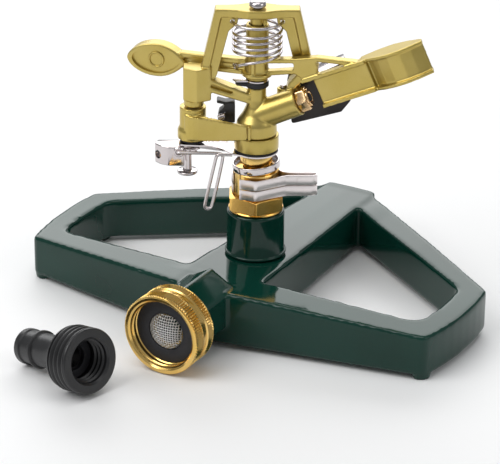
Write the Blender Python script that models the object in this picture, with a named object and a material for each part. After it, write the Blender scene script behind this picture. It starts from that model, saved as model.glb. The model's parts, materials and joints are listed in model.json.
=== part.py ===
# Impact sprinkler on a cast base. Dimensions are in millimetres and become metres when a mesh is made.
# X runs across the base, -Y is the hose side, Z is up. The origin is on the ground, on the riser's axis.
import math

import bmesh
import bpy
from mathutils import Matrix, Vector

MM = 0.001
GAP = 0.3                      # room left between pieces that touch on the real object
ROUND = 20                     # sides of an ordinary round piece
SMALL = 12                     # sides of a pin, a screw or a wire boss

CROWDED = "MANIFOLD"           # solver for castings whose many faces lie in one plane

# Base casting
WALL_FOOT = 1.9                # the walls stop above the ground, only the cast feet touch it
WALL = 3.0
RECESS = 3.4                   # depth of the shallow recess under the castings
LIP = 2.2                      # rounding along the top edges
FRONT_APEX_Y = -43.9
FRONT_TIP = (88.9, -26.9)
BACK_TIP = (91.2, 22.6)
BACK_ROOT = (8.4, 82.4)
HOLE_FRONT_ROOT = (-1.0, -25.8)
HOLE_FRONT_TIP = (80.5, -16.1)
HOLE_BACK_TIP = (80.9, 18.1)
HOLE_BACK_ROOT = (7.0, 68.4)
SPINE_FRONT_Y = -32.0
SPINE_BACK_Y = 82.9
SPINE_WIDE = 17.4              # half width at the front
SPINE_SLIM = 11.4              # half width at the back
SPINE_TOP = 22.1
FOOT_R = 3.6

# Inlet, measured forward from the riser along -Y
INLET_Z = 16.2
NECK_AF = 23.4
NECK_END = 52.6
STEM_FLANGE = 59.6
NUT_BACK = 54.4
NUT_FRONT = 72.2
NUT_R = 15.8
NUT_BORE = 13.1

# Riser and bearing stack
RISER_R = 11.4
RISER_FOOT = 22.9
RISER_TOP = 41.3
BUSH_AF = 20.8
BUSH_TOP = 49.4
COLLAR_R = 10.6
COLLAR_BORE = 8.3
COLLAR_H = 4.1
COLLAR_REACH = 24.3
COLLAR_AZIMUTH = 17.0
STEM_R = 4.9
STEM_BORE = 3.4

# Head
HEAD_YAW = 30.0                # the nozzle side of the head, seen from above
BODY_R = 8.15
BODY_FOOT = 73.5
BODY_TOP = 84.0
NECK_R = 3.9
NECK_TOP = 92.9
JET_RISE = 25.5
JET_YAW = -12.0
JET_ROOT_Z = 80.4
BARREL_R = 5.6
BARREL_LEN = 18.3
YOKE_HALF = 3.0                # half the yoke's depth
YOKE_TOP = 125.2
YOKE_BAR = 122.0
POST_X = -23.1
PIVOT_X = -24.8                # the trip pin's axis
SHAFT_R = 1.8

# Impact arm
ARM_YAW = -17.0
ARM_HALF = 1.9                 # half the arm's thickness
HUB_R = 4.1
PIN_STEP = -2.2                # the trip pin's foot is cranked outwards
HUB_FOOT = 96.3
HUB_TOP = 118.7
SPOON_ROOT = (25.7, 94.5)
SPOON_RISE = 24.3
SPRING_R = 9.3
SPRING_WIRE = 0.6
SPRING_FOOT = 107.2
SPRING_PITCH = 2.35
SPRING_TURNS = 3               # whole turns above the right-hand crossing, then half a turn more

# Trip gear and deflector
WIRE_R = 0.65
FLIP_AXIS = (-6.0, 67.2)       # y and z of the trip wire's straight part
FLAP_PIVOT = (14.6, 93.6)

# Loose hose adapter
ADAPTER_TAIL = (-49.1, -89.2, 6.66)
ADAPTER_YAW = -16.8
ADAPTER_RISE = 11.5
ADAPTER_LEN = 38.4
ADAPTER_BORE = 8.3
THREAD_R = 12.6
THREAD_PITCH = 2.45


def finish(name, colour, roughness, metallic):
    made = bpy.data.materials.new(name)
    made.use_nodes = True
    shader = made.node_tree.nodes["Principled BSDF"]
    shader.inputs["Base Color"].default_value = (*colour, 1.0)
    shader.inputs["Roughness"].default_value = roughness
    shader.inputs["Metallic"].default_value = metallic
    made.diffuse_color = (*colour, 1.0)
    return made


def spot(x, y, z):
    return Matrix.Translation((x, y, z))


def about(angle, axis):
    return Matrix.Rotation(math.radians(angle), 4, axis)


ALONG_X = about(90.0, "Y")
ALONG_Y = about(-90.0, "X")


def lathe(profile, sides=ROUND, place=Matrix.Identity(4), bm=None):
    """Turn (radius, height) points about Z. Points on the axis close the solid there."""
    bm = bm or bmesh.new()
    rings = []
    for radius, height in profile:
        count = sides if radius > 0.0 else 1
        turn = [2.0 * math.pi * i / sides for i in range(count)]
        rings.append([bm.verts.new(place @ Vector((radius * math.cos(a), radius * math.sin(a), height)))
                      for a in turn])
    if len(rings[0]) > 1:
        rings.append(rings[0])
    for low, high in zip(rings, rings[1:]):
        for i in range(sides):
            j = (i + 1) % sides
            corners = [low[i % len(low)], low[j % len(low)], high[j % len(high)], high[i % len(high)]]
            bm.faces.new(list(dict.fromkeys(corners)))
    return bm


def slab(outline, low, high, place=Matrix.Identity(4), bm=None):
    """Extrude an (x, y) outline along Z. low and high are heights or functions of x and y."""
    bm = bm or bmesh.new()
    heights = [h if callable(h) else (lambda x, y, fixed=h: fixed) for h in (low, high)]
    ends = [[bm.verts.new(place @ Vector((x, y, h(x, y)))) for x, y in outline] for h in heights]
    bm.faces.new(ends[0][::-1])
    bm.faces.new(ends[1])
    for i in range(len(outline)):
        j = (i + 1) % len(outline)
        bm.faces.new((ends[0][i], ends[0][j], ends[1][j], ends[1][i]))
    return bm


def plate(outline, near, far, place=Matrix.Identity(4), bm=None):
    """Extrude an (x, z) outline along Y, from near to far."""
    stand = Matrix(((1, 0, 0, 0), (0, 0, 1, 0), (0, 1, 0, 0), (0, 0, 0, 1)))
    return slab(outline, near, far, place @ stand, bm)


def bar(start, end, thick):
    """Outline of a straight bar between two points."""
    run = (Vector(end) - Vector(start)).normalized() * thick / 2.0
    side = Vector((-run.y, run.x))
    corners = (Vector(start) - side, Vector(end) - side, Vector(end) + side, Vector(start) + side)
    return [tuple(corner) for corner in corners]


def ngon(sides, across, first=0.0):
    """Regular outline with a given width across its flats."""
    radius = across / 2.0 / math.cos(math.pi / sides)
    turn = [math.radians(first) + 2.0 * math.pi * i / sides for i in range(sides)]
    return [(radius * math.cos(a), radius * math.sin(a)) for a in turn]


def eased(corner, before, after, radius, steps):
    """Points of the arc that rounds one corner of an outline."""
    corner, before, after = Vector(corner), Vector(before), Vector(after)
    to_before = (before - corner).normalized()
    to_after = (after - corner).normalized()
    half = to_before.angle(to_after) / 2.0
    centre = corner + (to_before + to_after).normalized() * radius / math.sin(half)
    start = corner + to_before * radius / math.tan(half) - centre
    sweep = start.angle_signed(corner + to_after * radius / math.tan(half) - centre)
    turned = [Matrix.Rotation(-sweep * i / steps, 2) @ start for i in range(steps + 1)]
    return [tuple(centre + arm) for arm in turned]


def rounded(outline, radius, steps=3):
    points = []
    for i, corner in enumerate(outline):
        points += eased(corner, outline[i - 1], outline[(i + 1) % len(outline)], radius, steps)
    return points


def tube(route, radius, sides=6, bm=None):
    """Round wire along a route of points, with flat ends."""
    bm = bm or bmesh.new()
    route = [Vector(point) for point in route]
    tangents = [(route[min(i + 1, len(route) - 1)] - route[max(i - 1, 0)]).normalized()
                for i in range(len(route))]
    side = tangents[0].orthogonal().normalized()
    rings = []
    for point, ahead in zip(route, tangents):
        side = (side - ahead * side.dot(ahead)).normalized()
        other = ahead.cross(side)
        turn = [2.0 * math.pi * k / sides for k in range(sides)]
        rings.append([bm.verts.new(point + radius * (math.cos(a) * side + math.sin(a) * other))
                      for a in turn])
    bm.faces.new(rings[0][::-1])
    bm.faces.new(rings[-1])
    for low, high in zip(rings, rings[1:]):
        for k in range(sides):
            m = (k + 1) % sides
            bm.faces.new((low[k], low[m], high[m], high[k]))
    return bm


def piece(name, bm, look=None, parent=None, place=(0.0, 0.0, 0.0)):
    """Make the object. Its mesh is moved back by place, so only the origin shifts."""
    bmesh.ops.translate(bm, vec=-Vector(place), verts=bm.verts)
    bmesh.ops.scale(bm, vec=(MM, MM, MM), verts=bm.verts)
    bmesh.ops.recalc_face_normals(bm, faces=bm.faces)
    mesh = bpy.data.meshes.new(name)
    bm.to_mesh(mesh)
    bm.free()
    mesh.shade_smooth()
    mesh.set_sharp_from_angle(angle=math.radians(35.0))
    made = bpy.data.objects.new(name, mesh)
    made.location = Vector(place) * MM
    made.parent = parent
    if look:
        mesh.materials.append(look)
    bpy.context.scene.collection.objects.link(made)
    return made


def combine(target, operation, *shapes, solver="EXACT"):
    """Join or cut a piece with hidden tool bodies made from the given meshes."""
    for number, bm in enumerate(shapes):
        tool = piece(f"{target.name}_{operation.lower()}_{number}", bm, None, target.parent)
        tool.hide_render = True
        tool.display_type = "WIRE"
        step = target.modifiers.new(operation.title(), "BOOLEAN")
        step.operation = operation
        step.solver = solver
        step.object = tool


def frame(name, parent=None, place=(0.0, 0.0, 0.0), turn=(0.0, 0.0, 0.0)):
    made = bpy.data.objects.new(name, None)
    made.location = Vector(place) * MM
    made.rotation_euler = [math.radians(angle) for angle in turn]
    made.parent = parent
    bpy.context.scene.collection.objects.link(made)
    return made


def mix(a, b, t):
    return a + (b - a) * t


# Base -------------------------------------------------------------------------------------------

def beam_top(x, y):
    """Top of the side loops: the front beams fall towards their tips, the back ones hardly do."""
    front = 24.2 - 0.065 * abs(x)
    back = 19.9 - 0.015 * abs(x)
    return mix(front, back, min(max((y + 16.0) / 34.0, 0.0), 1.0))


def loop_path(root, front, back, end, radius, bulge):
    """One edge of a side loop, from the front of the spine round to its back."""
    side = []
    for i in range(1, 4):
        t = i / 4.0
        side.append((mix(front[0], back[0], t) + 4.0 * bulge * t * (1.0 - t), mix(front[1], back[1], t)))
    path = [root]
    path += eased(front, root, side[0], radius, 3)
    path += side
    path += eased(back, side[-1], end, radius, 3)
    return path + [end]


def side_loop(mirror):
    """A side loop is one beam with rounded top edges and a shallow recess below."""
    outer = loop_path((-1.0, FRONT_APEX_Y - 0.2), FRONT_TIP, BACK_TIP, BACK_ROOT, 2.4, 2.6)
    inner = loop_path(HOLE_FRONT_ROOT, HOLE_FRONT_TIP, HOLE_BACK_TIP, HOLE_BACK_ROOT, 7.0, 1.2)
    bm = bmesh.new()
    sections = []
    for a, b in zip(outer, inner):
        a, b = Vector(a), Vector(b)
        width = (b - a).length
        across = (b - a) / width
        high = beam_top(*((a + b) / 2.0))
        soft = 0.29 * LIP
        profile = [(-0.4, WALL_FOOT), (0.0, high - LIP), (soft, high - soft), (LIP, high),
                   (width - LIP, high), (width - soft, high - soft), (width, high - LIP),
                   (width + 0.3, WALL_FOOT), (width - WALL, WALL_FOOT), (width - WALL, WALL_FOOT + RECESS),
                   (WALL, WALL_FOOT + RECESS), (WALL, WALL_FOOT)]
        spots = [(a + across * step, z) for step, z in profile]
        sections.append([bm.verts.new((mirror * p.x, p.y, z)) for p, z in spots])
    bm.faces.new(sections[0])
    bm.faces.new(sections[-1][::-1])
    for one, two in zip(sections, sections[1:]):
        for i in range(len(one)):
            j = (i + 1) % len(one)
            bm.faces.new((one[i], one[j], two[j], two[i]))
    return bm


def spine():
    bm = bmesh.new()
    stations = [(SPINE_FRONT_Y, 0.0), (-23.7, 0.0), (20.0, 0.0), (SPINE_BACK_Y - 1.6, 0.0), (SPINE_BACK_Y, 1.2)]
    sections = []
    for y, shrink in stations:
        t = (y - SPINE_FRONT_Y) / (SPINE_BACK_Y - SPINE_FRONT_Y)
        half = mix(SPINE_WIDE, SPINE_SLIM, t) - shrink
        high = SPINE_TOP - 0.033 * y - shrink
        soft = 0.29 * LIP
        right = [(half + 0.3, WALL_FOOT), (half, high - LIP), (half - soft, high - soft), (half - LIP, high)]
        left = [(-x, z) for x, z in reversed(right)]
        sections.append([bm.verts.new((x, y, z)) for x, z in right + left])
    bm.faces.new(sections[0])
    bm.faces.new(sections[-1][::-1])
    for one, two in zip(sections, sections[1:]):
        for i in range(len(one)):
            j = (i + 1) % len(one)
            bm.faces.new((one[i], one[j], two[j], two[i]))
    return bm


def forward(start, end):
    """Placing matrix whose local Z runs from the riser out through the inlet."""
    return spot(0.0, -start, INLET_Z) @ about(90.0, "X"), end - start


def base(paint):
    casting = piece("base_casting", spine(), paint)
    neck_place, neck_len = forward(34.0, NECK_END)
    combine(casting, "UNION", side_loop(1.0), side_loop(-1.0),
            lathe([(0.0, WALL_FOOT), (12.2, WALL_FOOT), (12.2, RISER_FOOT - GAP), (0.0, RISER_FOOT - GAP)]),
            slab(rounded(ngon(6, NECK_AF, 30.0), 1.2, 2), 0.0, neck_len, neck_place), solver=CROWDED)
    pockets = []
    for side in (1.0, -1.0):
        plan = [(1.5 * side, 17.0), (12.4 * side, 17.0), (8.8 * side, 77.5), (1.5 * side, 77.5)]
        pockets.append(slab(plan[::int(side)], -1.0, WALL_FOOT + RECESS))
    socket_place, socket_len = forward(41.0, NECK_END + 1.0)
    way_place, way_len = forward(0.0, 42.0)
    combine(casting, "DIFFERENCE", *pockets,
            lathe([(0.0, 0.0), (8.3, 0.0), (8.3, socket_len), (0.0, socket_len)], ROUND, socket_place),
            lathe([(0.0, 0.0), (3.8, 0.0), (3.8, way_len), (0.0, way_len)], SMALL, way_place),
            lathe([(0.0, 12.4), (5.5, 12.4), (5.5, 18.5), (8.6, 18.5), (8.6, 24.0), (0.0, 24.0)]),
            solver=CROWDED)
    feet = [(x * side, y) for x, y in ((85.9, -23.2), (86.0, 20.3)) for side in (1.0, -1.0)] + [(0.0, 77.0)]
    pads = [lathe([(0.0, 0.0), (FOOT_R, 0.0), (FOOT_R, 8.0), (0.0, 8.0)], SMALL, spot(x, y, 0.0))
            for x, y in feet]
    combine(casting, "UNION", *pads,
            lathe([(0.0, 0.0), (9.0, 0.0), (9.0, 4.0), (0.0, 4.0)]), solver=CROWDED)


def riser(paint, brass):
    piece("riser_coupling", lathe([
        (8.3, 18.8), (8.3, RISER_FOOT), (11.9, RISER_FOOT), (12.1, 23.5), (11.9, 24.1), (RISER_R, 24.6),
        (RISER_R, RISER_TOP - 0.9), (RISER_R - 0.9, RISER_TOP), (9.2, RISER_TOP), (8.6, RISER_TOP - 0.6),
        (8.6, 25.0), (6.6, 25.0), (6.6, 18.8)]), paint)
    bush = piece("hex_bush", lathe([
        (8.3, 33.2), (8.3, BUSH_TOP - 3.0), (8.0, BUSH_TOP - 3.0), (8.0, 59.2), (5.3, 59.2), (5.3, 33.2)]),
        brass)
    nut = piece("hex_bush_union_nut", slab(ngon(6, BUSH_AF, -90.0 + HEAD_YAW), RISER_TOP + GAP, BUSH_TOP), None)
    nut.hide_render = True
    nut.display_type = "WIRE"
    crown = BUSH_AF / 2.0 + 0.35
    combine(nut, "INTERSECT", lathe([
        (0.0, RISER_TOP), (crown, RISER_TOP), (crown + 1.6, RISER_TOP + 1.6), (crown + 1.6, BUSH_TOP - 1.6),
        (crown, BUSH_TOP), (0.0, BUSH_TOP)]))
    combine(nut, "DIFFERENCE", lathe([(0.0, 40.0), (5.3, 40.0), (5.3, 60.0), (0.0, 60.0)]))
    step = bush.modifiers.new("Nut", "BOOLEAN")
    step.operation = "UNION"
    step.solver = CROWDED
    step.object = nut


def inlet(brass, rubber, mesh_steel):
    """Turned pieces on the inlet's axis, heights measured forward from the riser."""
    axis = frame("inlet_axis", None, (0.0, 0.0, INLET_Z), (90.0, 0.0, 0.0))
    piece("swivel_stem", lathe([
        (8.0, 41.3), (8.0, 53.0), (8.9, 53.0), (8.9, STEM_FLANGE), (12.4, STEM_FLANGE), (12.4, 62.0),
        (5.8, 62.0), (5.8, 41.3)]), brass, axis)
    lip = NUT_BACK + 4.9
    piece("swivel_nut", lathe([
        (14.6, NUT_BACK), (NUT_R, NUT_BACK + 0.8), (NUT_R, NUT_BACK + 5.0), (14.9, NUT_BACK + 5.5),
        (14.9, NUT_BACK + 9.4), (NUT_R, NUT_BACK + 9.9), (NUT_R, NUT_FRONT - 3.6), (15.3, NUT_FRONT - 3.2),
        (15.4, NUT_FRONT - 0.8), (14.8, NUT_FRONT), (13.9, NUT_FRONT), (NUT_BORE, NUT_FRONT - 0.9),
        (NUT_BORE, lip), (9.2, lip), (9.2, NUT_BACK)], 28), brass, axis)
    piece("hose_washer", lathe([
        (12.7, 62.3), (12.7, 65.0), (12.4, 65.3), (8.0, 65.3), (7.8, 65.1), (7.8, 62.3)]), rubber, axis)
    dome = []
    for radius, height, count in ((7.4, 3.6, 4), (6.8, 3.1, 4)):
        arc = [(radius * math.sin(math.pi / 2.0 * i / count), 63.6 + height * math.cos(math.pi / 2.0 * i / count))
               for i in range(count + 1)]
        dome.append(arc)
    flat = [(7.4, 62.5), (6.8, 62.5)]
    dome[1].reverse()
    outer, inner = dome
    outer[0] = (0.0, outer[0][1])
    inner[-1] = (0.0, inner[-1][1])
    piece("filter_screen", lathe(outer + flat + inner, 16), mesh_steel, axis)


def trip_collars(chrome, brass):
    """Two alike collars, each turned by its finger tab."""
    floor = BUSH_TOP + GAP
    for name in ("trip_collar_lower", "trip_collar_upper"):
        hub = frame(name + "_axis", None, (0.0, 0.0, 0.0), (0.0, 0.0, COLLAR_AZIMUTH))
        roof = floor + COLLAR_H
        collar = piece(name, lathe([
            (COLLAR_BORE, floor), (COLLAR_R - 0.3, floor), (COLLAR_R, floor + 0.3), (COLLAR_R, roof - 0.3),
            (COLLAR_R - 0.3, roof), (COLLAR_BORE, roof)]), chrome, hub)
        reach = COLLAR_REACH
        tab = [(5.2, -8.9), (14.5, -5.0), (reach - 1.2, -3.4), (reach, -4.2), (reach, 1.4), (reach - 1.2, 2.4),
               (14.0, 2.2), (9.0, 4.2), (8.9, 0.0)]
        combine(collar, "UNION", slab(tab, floor + 0.15, roof - 0.15))
        floor = roof + GAP
    piece("collar_spacer", lathe([
        (8.3, floor), (9.9, floor), (9.9, floor + 1.3), (8.3, floor + 1.3)]), brass)


def bearing(head, brass, chrome, black, steel):
    """What lets the head turn in the hexagonal bush."""
    piece("dust_cup", lathe([
        (5.6, 60.4), (8.9, 60.4), (9.2, 60.7), (9.2, 63.1), (9.0, 63.3), (8.5, 63.1), (8.5, 61.0), (5.6, 61.0)]),
        chrome, head)
    piece("head_stem", lathe([
        (STEM_BORE, 25.4), (8.1, 25.4), (8.1, 27.0), (STEM_R, 27.0), (STEM_R, 80.0), (STEM_BORE, 80.0)]),
        brass, head)
    turns = [2.0 * math.pi * i / 12 for i in range(12 * 3 + 1)]
    coil = [(6.9 * math.cos(a), 6.9 * math.sin(a), 27.9 + a / (2.0 * math.pi)) for a in turns]
    piece("pressure_spring", tube(coil, 0.4, 4), steel, head)
    piece("thrust_washer", lathe([(5.3, 31.5), (8.2, 31.5), (8.2, 32.8), (5.3, 32.8)]), black, head)
    piece("bearing_sleeve", lathe([
        (5.3, 61.3), (6.1, 61.3), (6.3, 61.6), (6.3, 65.6), (5.3, 65.6)]), brass, head)
    piece("head_washer", lathe([(5.3, 66.7), (8.5, 66.7), (8.5, 67.2), (5.3, 67.2)]), black, head)


# Head -------------------------------------------------------------------------------------------

def jet_place():
    """Matrix whose local Z runs along the water jet, from the head's axis outward."""
    return spot(0.0, 0.0, JET_ROOT_Z) @ about(JET_YAW, "Z") @ about(90.0 - JET_RISE, "Y")


def rod(radius, low, high, place=Matrix.Identity(4), sides=ROUND):
    return lathe([(0.0, low), (radius, low), (radius, high), (0.0, high)], sides, place)


def flip(outline, side):
    return [(side * x, z) for x, z in outline]


def yoke_solids():
    """The yoke is an I-section: a deep rim round a thin web, with a gusset in each top corner."""
    rim = [(-22.0, 99.0), (-16.2, YOKE_TOP), (16.2, YOKE_TOP), (21.7, 101.6), (16.8, 95.2), (14.6, 93.0),
           (13.9, 90.6), (10.6, 90.0), (12.0, 94.8), (18.2, 102.4), (13.9, YOKE_BAR), (-13.9, YOKE_BAR),
           (-18.2, 101.8), (-18.6, 99.0)]
    solids = [plate(rim, -YOKE_HALF, YOKE_HALF)]
    gusset = [(18.6, 100.6), (14.3, 122.6), (7.2, 122.6), (7.6, 119.0), (9.2, 117.4), (11.0, 115.8),
              (15.4, 98.0), (16.6, 95.6)]
    for side in (1.0, -1.0):
        solids.append(plate(flip(gusset, side), -1.2, 1.2))
    solids.append(plate([(-18.2, 95.8), (-15.6, 95.4), (-3.0, 90.2), (-2.0, 86.8), (-18.2, 92.0)], -1.1, 1.1))
    solids.append(plate(bar((-18.0, 95.6), (-3.0, 89.7), 1.7), -YOKE_HALF, YOKE_HALF - 0.2))
    solids.append(plate(bar((-18.4, 92.4), (-2.6, 87.4), 1.9), -YOKE_HALF, YOKE_HALF - 0.2))
    solids.append(rod(4.7, 121.2, 125.6))
    solids.append(rod(2.9, 117.2, 122.5, sides=SMALL))
    return solids


def post_solids():
    """Hexagonal post that carries the trip pin, flat at the back where the arm passes."""
    six = [(x + POST_X, y) for x, y in ngon(6, 10.8, -90.0)]
    six = [(x, min(y, YOKE_HALF)) for x, y in six]
    return [slab(six, 88.0, 101.4), rod(3.9, 85.2, 89.0, spot(PIVOT_X + 0.4, -0.2, 0.0), SMALL)]


def head(parent, gold, brass, steel, black):
    casting = piece("head_casting", lathe([
        (0.0, BODY_FOOT), (BODY_R, BODY_FOOT), (BODY_R, BODY_TOP), (6.4, 85.8), (NECK_R, 87.6),
        (NECK_R, NECK_TOP), (0.0, NECK_TOP)]), gold, parent)
    jet = jet_place()
    combine(casting, "UNION", rod(BARREL_R, 1.0, BARREL_LEN, jet, 28), *yoke_solids(), *post_solids(),
            rod(2.4, 86.0, 91.6, spot(10.2, 2.1, 0.0), SMALL),
            rod(2.3, 0.0, 6.9, spot(FLAP_PIVOT[0], 0.0, FLAP_PIVOT[1]) @ ALONG_Y, SMALL), solver=CROWDED)
    cuts = [rod(5.3, 70.0, 80.3), rod(3.2, 79.0, 82.5, sides=SMALL), rod(3.2, 0.0, BARREL_LEN + 1.0, jet, SMALL),
            rod(SHAFT_R + GAP, 89.4, 94.0, sides=SMALL), rod(SHAFT_R + GAP, 116.0, 127.0, sides=SMALL),
            rod(1.75 + GAP, 84.0, 97.0, spot(PIVOT_X, 0.0, 0.0), SMALL),
            rod(1.5, 88.2, 95.0, spot(10.2, 2.1, 0.0), SMALL),
            rod(1.5, 0.8, 8.0, spot(FLAP_PIVOT[0], 0.0, FLAP_PIVOT[1]) @ ALONG_Y, SMALL)]
    cuts += [rod(0.9, -3.0, 3.0, spot(x, 0.0, 119.8) @ ALONG_Y, 12) for x in (-9.6, 9.6)]
    combine(casting, "DIFFERENCE", *cuts, solver=CROWDED)
    piece("head_base_ring", lathe([
        (5.3, 67.5), (8.4, 67.5), (8.7, 67.9), (8.7, 72.9), (8.4, 73.2), (5.3, 73.2)]), gold, parent)

    tip = piece("nozzle_tip", slab(ngon(6, 8.5, 30.0), BARREL_LEN + GAP, BARREL_LEN + 5.0, jet), brass, parent)
    combine(tip, "UNION", rod(2.9, BARREL_LEN - 5.0, BARREL_LEN + 1.0, jet, SMALL))
    combine(tip, "DIFFERENCE", rod(1.9, BARREL_LEN - 6.0, BARREL_LEN + 6.0, jet, SMALL))

    dome = [(3.3 * math.cos(math.radians(a)), 125.9 + 2.1 * math.sin(math.radians(a))) for a in (0, 25, 50, 72)]
    piece("shaft_screw", lathe([(0.0, 119.9), (1.5, 119.9), (1.5, 125.8), (3.3, 125.8)] + dome[1:] + [(0.0, 128.0)],
                               24), steel, parent)
    piece("arm_shaft", rod(SHAFT_R, 89.8, 119.6, sides=SMALL), brass, parent)
    seal = piece("arm_seal", lathe([(2.2, 93.2), (4.4, 93.2), (4.6, 93.5), (4.6, 94.9), (4.4, 95.2), (2.2, 95.2)]),
                 black, parent)
    combine(seal, "UNION", slab([(-3.4, -2.6), (-3.4, 2.2), (-7.6, 1.4), (-8.4, 0.2), (-7.8, -1.4)], 93.5, 94.9))
    washer = piece("arm_washer", lathe([(2.2, 95.5), (4.3, 95.5), (4.3, 96.0), (2.2, 96.0)]), steel, parent)
    combine(washer, "UNION", slab([(-3.2, -2.4), (-3.2, 2.4), (-8.6, 2.6), (-9.4, -0.4), (-8.0, -2.6)], 95.5, 96.0))

    screw = spot(10.2, 2.1, 0.0)
    piece("diffuser_screw", lathe([
        (0.0, 88.8), (1.2, 88.8), (1.2, 92.6), (1.0, 92.8), (0.0, 92.8)],
        SMALL, screw), steel, parent, (10.2, 2.1, 0.0))


def arm(parent, gold, brass):
    """The arm is cast round the hub: counterweight on the left, window and drive spoon on the right."""
    casting = piece("arm_casting", rod(HUB_R, HUB_FOOT, HUB_TOP), gold, parent)
    half = ARM_HALF
    leaf = [(-40.5 + 11.7 * math.cos(a), 99.9 + 6.7 * math.copysign(abs(math.sin(a)) ** 1.25, math.sin(a)))
            for a in [2.0 * math.pi * i / 20 for i in range(20)]]
    face = [(-40.5 + (x + 40.5) * 0.84, 99.9 + (z - 99.9) * 0.78) for x, z in leaf]
    solids = [plate(leaf, -3.0, 3.0),
              plate(bar((-31.0, 102.9), (-2.0, 102.9), 2.0), -half, half),
              plate(bar((-31.0, 98.6), (-2.0, 98.6), 1.8), -half, half),
              plate([(-31.0, 98.2), (-2.0, 98.2), (-2.0, 103.2), (-31.0, 103.2)], -0.7, 0.7),
              plate(bar((2.0, 104.0), (15.0, 105.6), 1.8), -half, half),
              plate(bar((14.0, 105.4), (24.5, 107.4), 1.8), -half, half),
              plate(bar((23.5, 107.3), (39.5, 107.3), 1.8), -half, half),
              plate(bar((2.0, 98.8), (15.5, 101.3), 1.8), -half, half),
              plate([(15.0, 100.6), (18.8, 98.6), (24.2, 101.2), (24.6, 104.8), (23.2, 107.2), (15.0, 105.9)],
                    -half, 1.1),
              slab([(-0.7, -4.9), (0.7, -4.9), (0.7, -3.0), (-0.7, -3.0)], 98.2, 105.2)]
    spoon = spot(SPOON_ROOT[0], 0.0, SPOON_ROOT[1]) @ about(-SPOON_RISE, "Y")
    wall = [(20.9, 5.4), (23.4, 1.6), (26.6, -1.4), (31.0, -2.9), (36.0, -2.9), (40.5, -1.6), (44.4, 0.6)]
    thick = [(x + 0.5, y + 1.7) for x, y in reversed(wall)]
    lips = [(18.6, 2.3), (21.0, -1.0), (26.0, -3.4), (31.0, -4.6), (36.0, -4.5), (41.0, -3.0), (45.6, -0.6),
            (44.6, 3.0), (38.0, 6.4), (31.8, 8.2), (25.0, 7.4), (18.6, 4.6)]
    solids += [plate([(-1.0, -5.5), (21.6, -5.5), (21.6, 5.5), (-1.0, 5.5)], -0.8, 0.8, spoon),
               plate(bar((-5.6, 5.9), (21.6, 5.9), 1.5), -2.4, half, spoon),
               plate(bar((-1.0, -5.9), (21.6, -5.9), 1.5), -2.4, 2.4, spoon),
               slab(wall + thick, -6.4, 6.4, spoon),
               slab(lips, 5.4, 6.7, spoon),
               slab(lips, -6.7, -5.4, spoon)]
    combine(casting, "UNION", *solids, solver=CROWDED)
    combine(casting, "DIFFERENCE", plate(face, -4.0, -2.1), plate(face, 2.1, 4.0),
            rod(3.4, 90.0, 120.0, sides=24),
            rod(0.9, -3.0, 3.0, spot(-8.9, 0.0, 100.7) @ ALONG_Y, 8), solver=CROWDED)
    piece("arm_bushing", lathe([(2.1, 96.5), (3.1, 96.5), (3.1, 116.9), (2.1, 116.9)], 24), brass, parent)


def arm_spring(parent, steel):
    """Torsion spring: the top end hooks into the yoke's gusset, the bottom end into the arm."""
    steps = 10
    across = math.radians(ARM_YAW)
    hook = Vector((-8.9 * math.cos(across), -8.9 * math.sin(across), 100.7))
    route = [hook + Vector((0.0, 3.0, 0.0)), hook - Vector((0.0, 2.2, 0.0))]
    for angle, height in ((-160, 101.9), (-140, 103.6), (-115, 105.2), (-90, 106.2), (-60, 106.7), (-30, 107.0)):
        route.append(Vector((SPRING_R * math.cos(math.radians(angle)), SPRING_R * math.sin(math.radians(angle)),
                             height)))
    half_turns = 2 * SPRING_TURNS + 1
    for i in range(half_turns * steps // 2 + 1):
        a = 2.0 * math.pi * i / steps
        route.append(Vector((SPRING_R * math.cos(a), SPRING_R * math.sin(a),
                             SPRING_FOOT + SPRING_PITCH * i / steps)))
    for angle, height in ((216, 116.2), (252, 117.4), (288, 118.6), (324, 119.5)):
        route.append(Vector((SPRING_R * math.cos(math.radians(angle)), SPRING_R * math.sin(math.radians(angle)),
                             height)))
    route += [Vector((9.6, -2.4, 119.8)), Vector((9.6, 2.6, 119.8))]
    piece("arm_spring", tube(route, SPRING_WIRE, 5), steel, parent)


# Trip gear and deflector ------------------------------------------------------------------------

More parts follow.
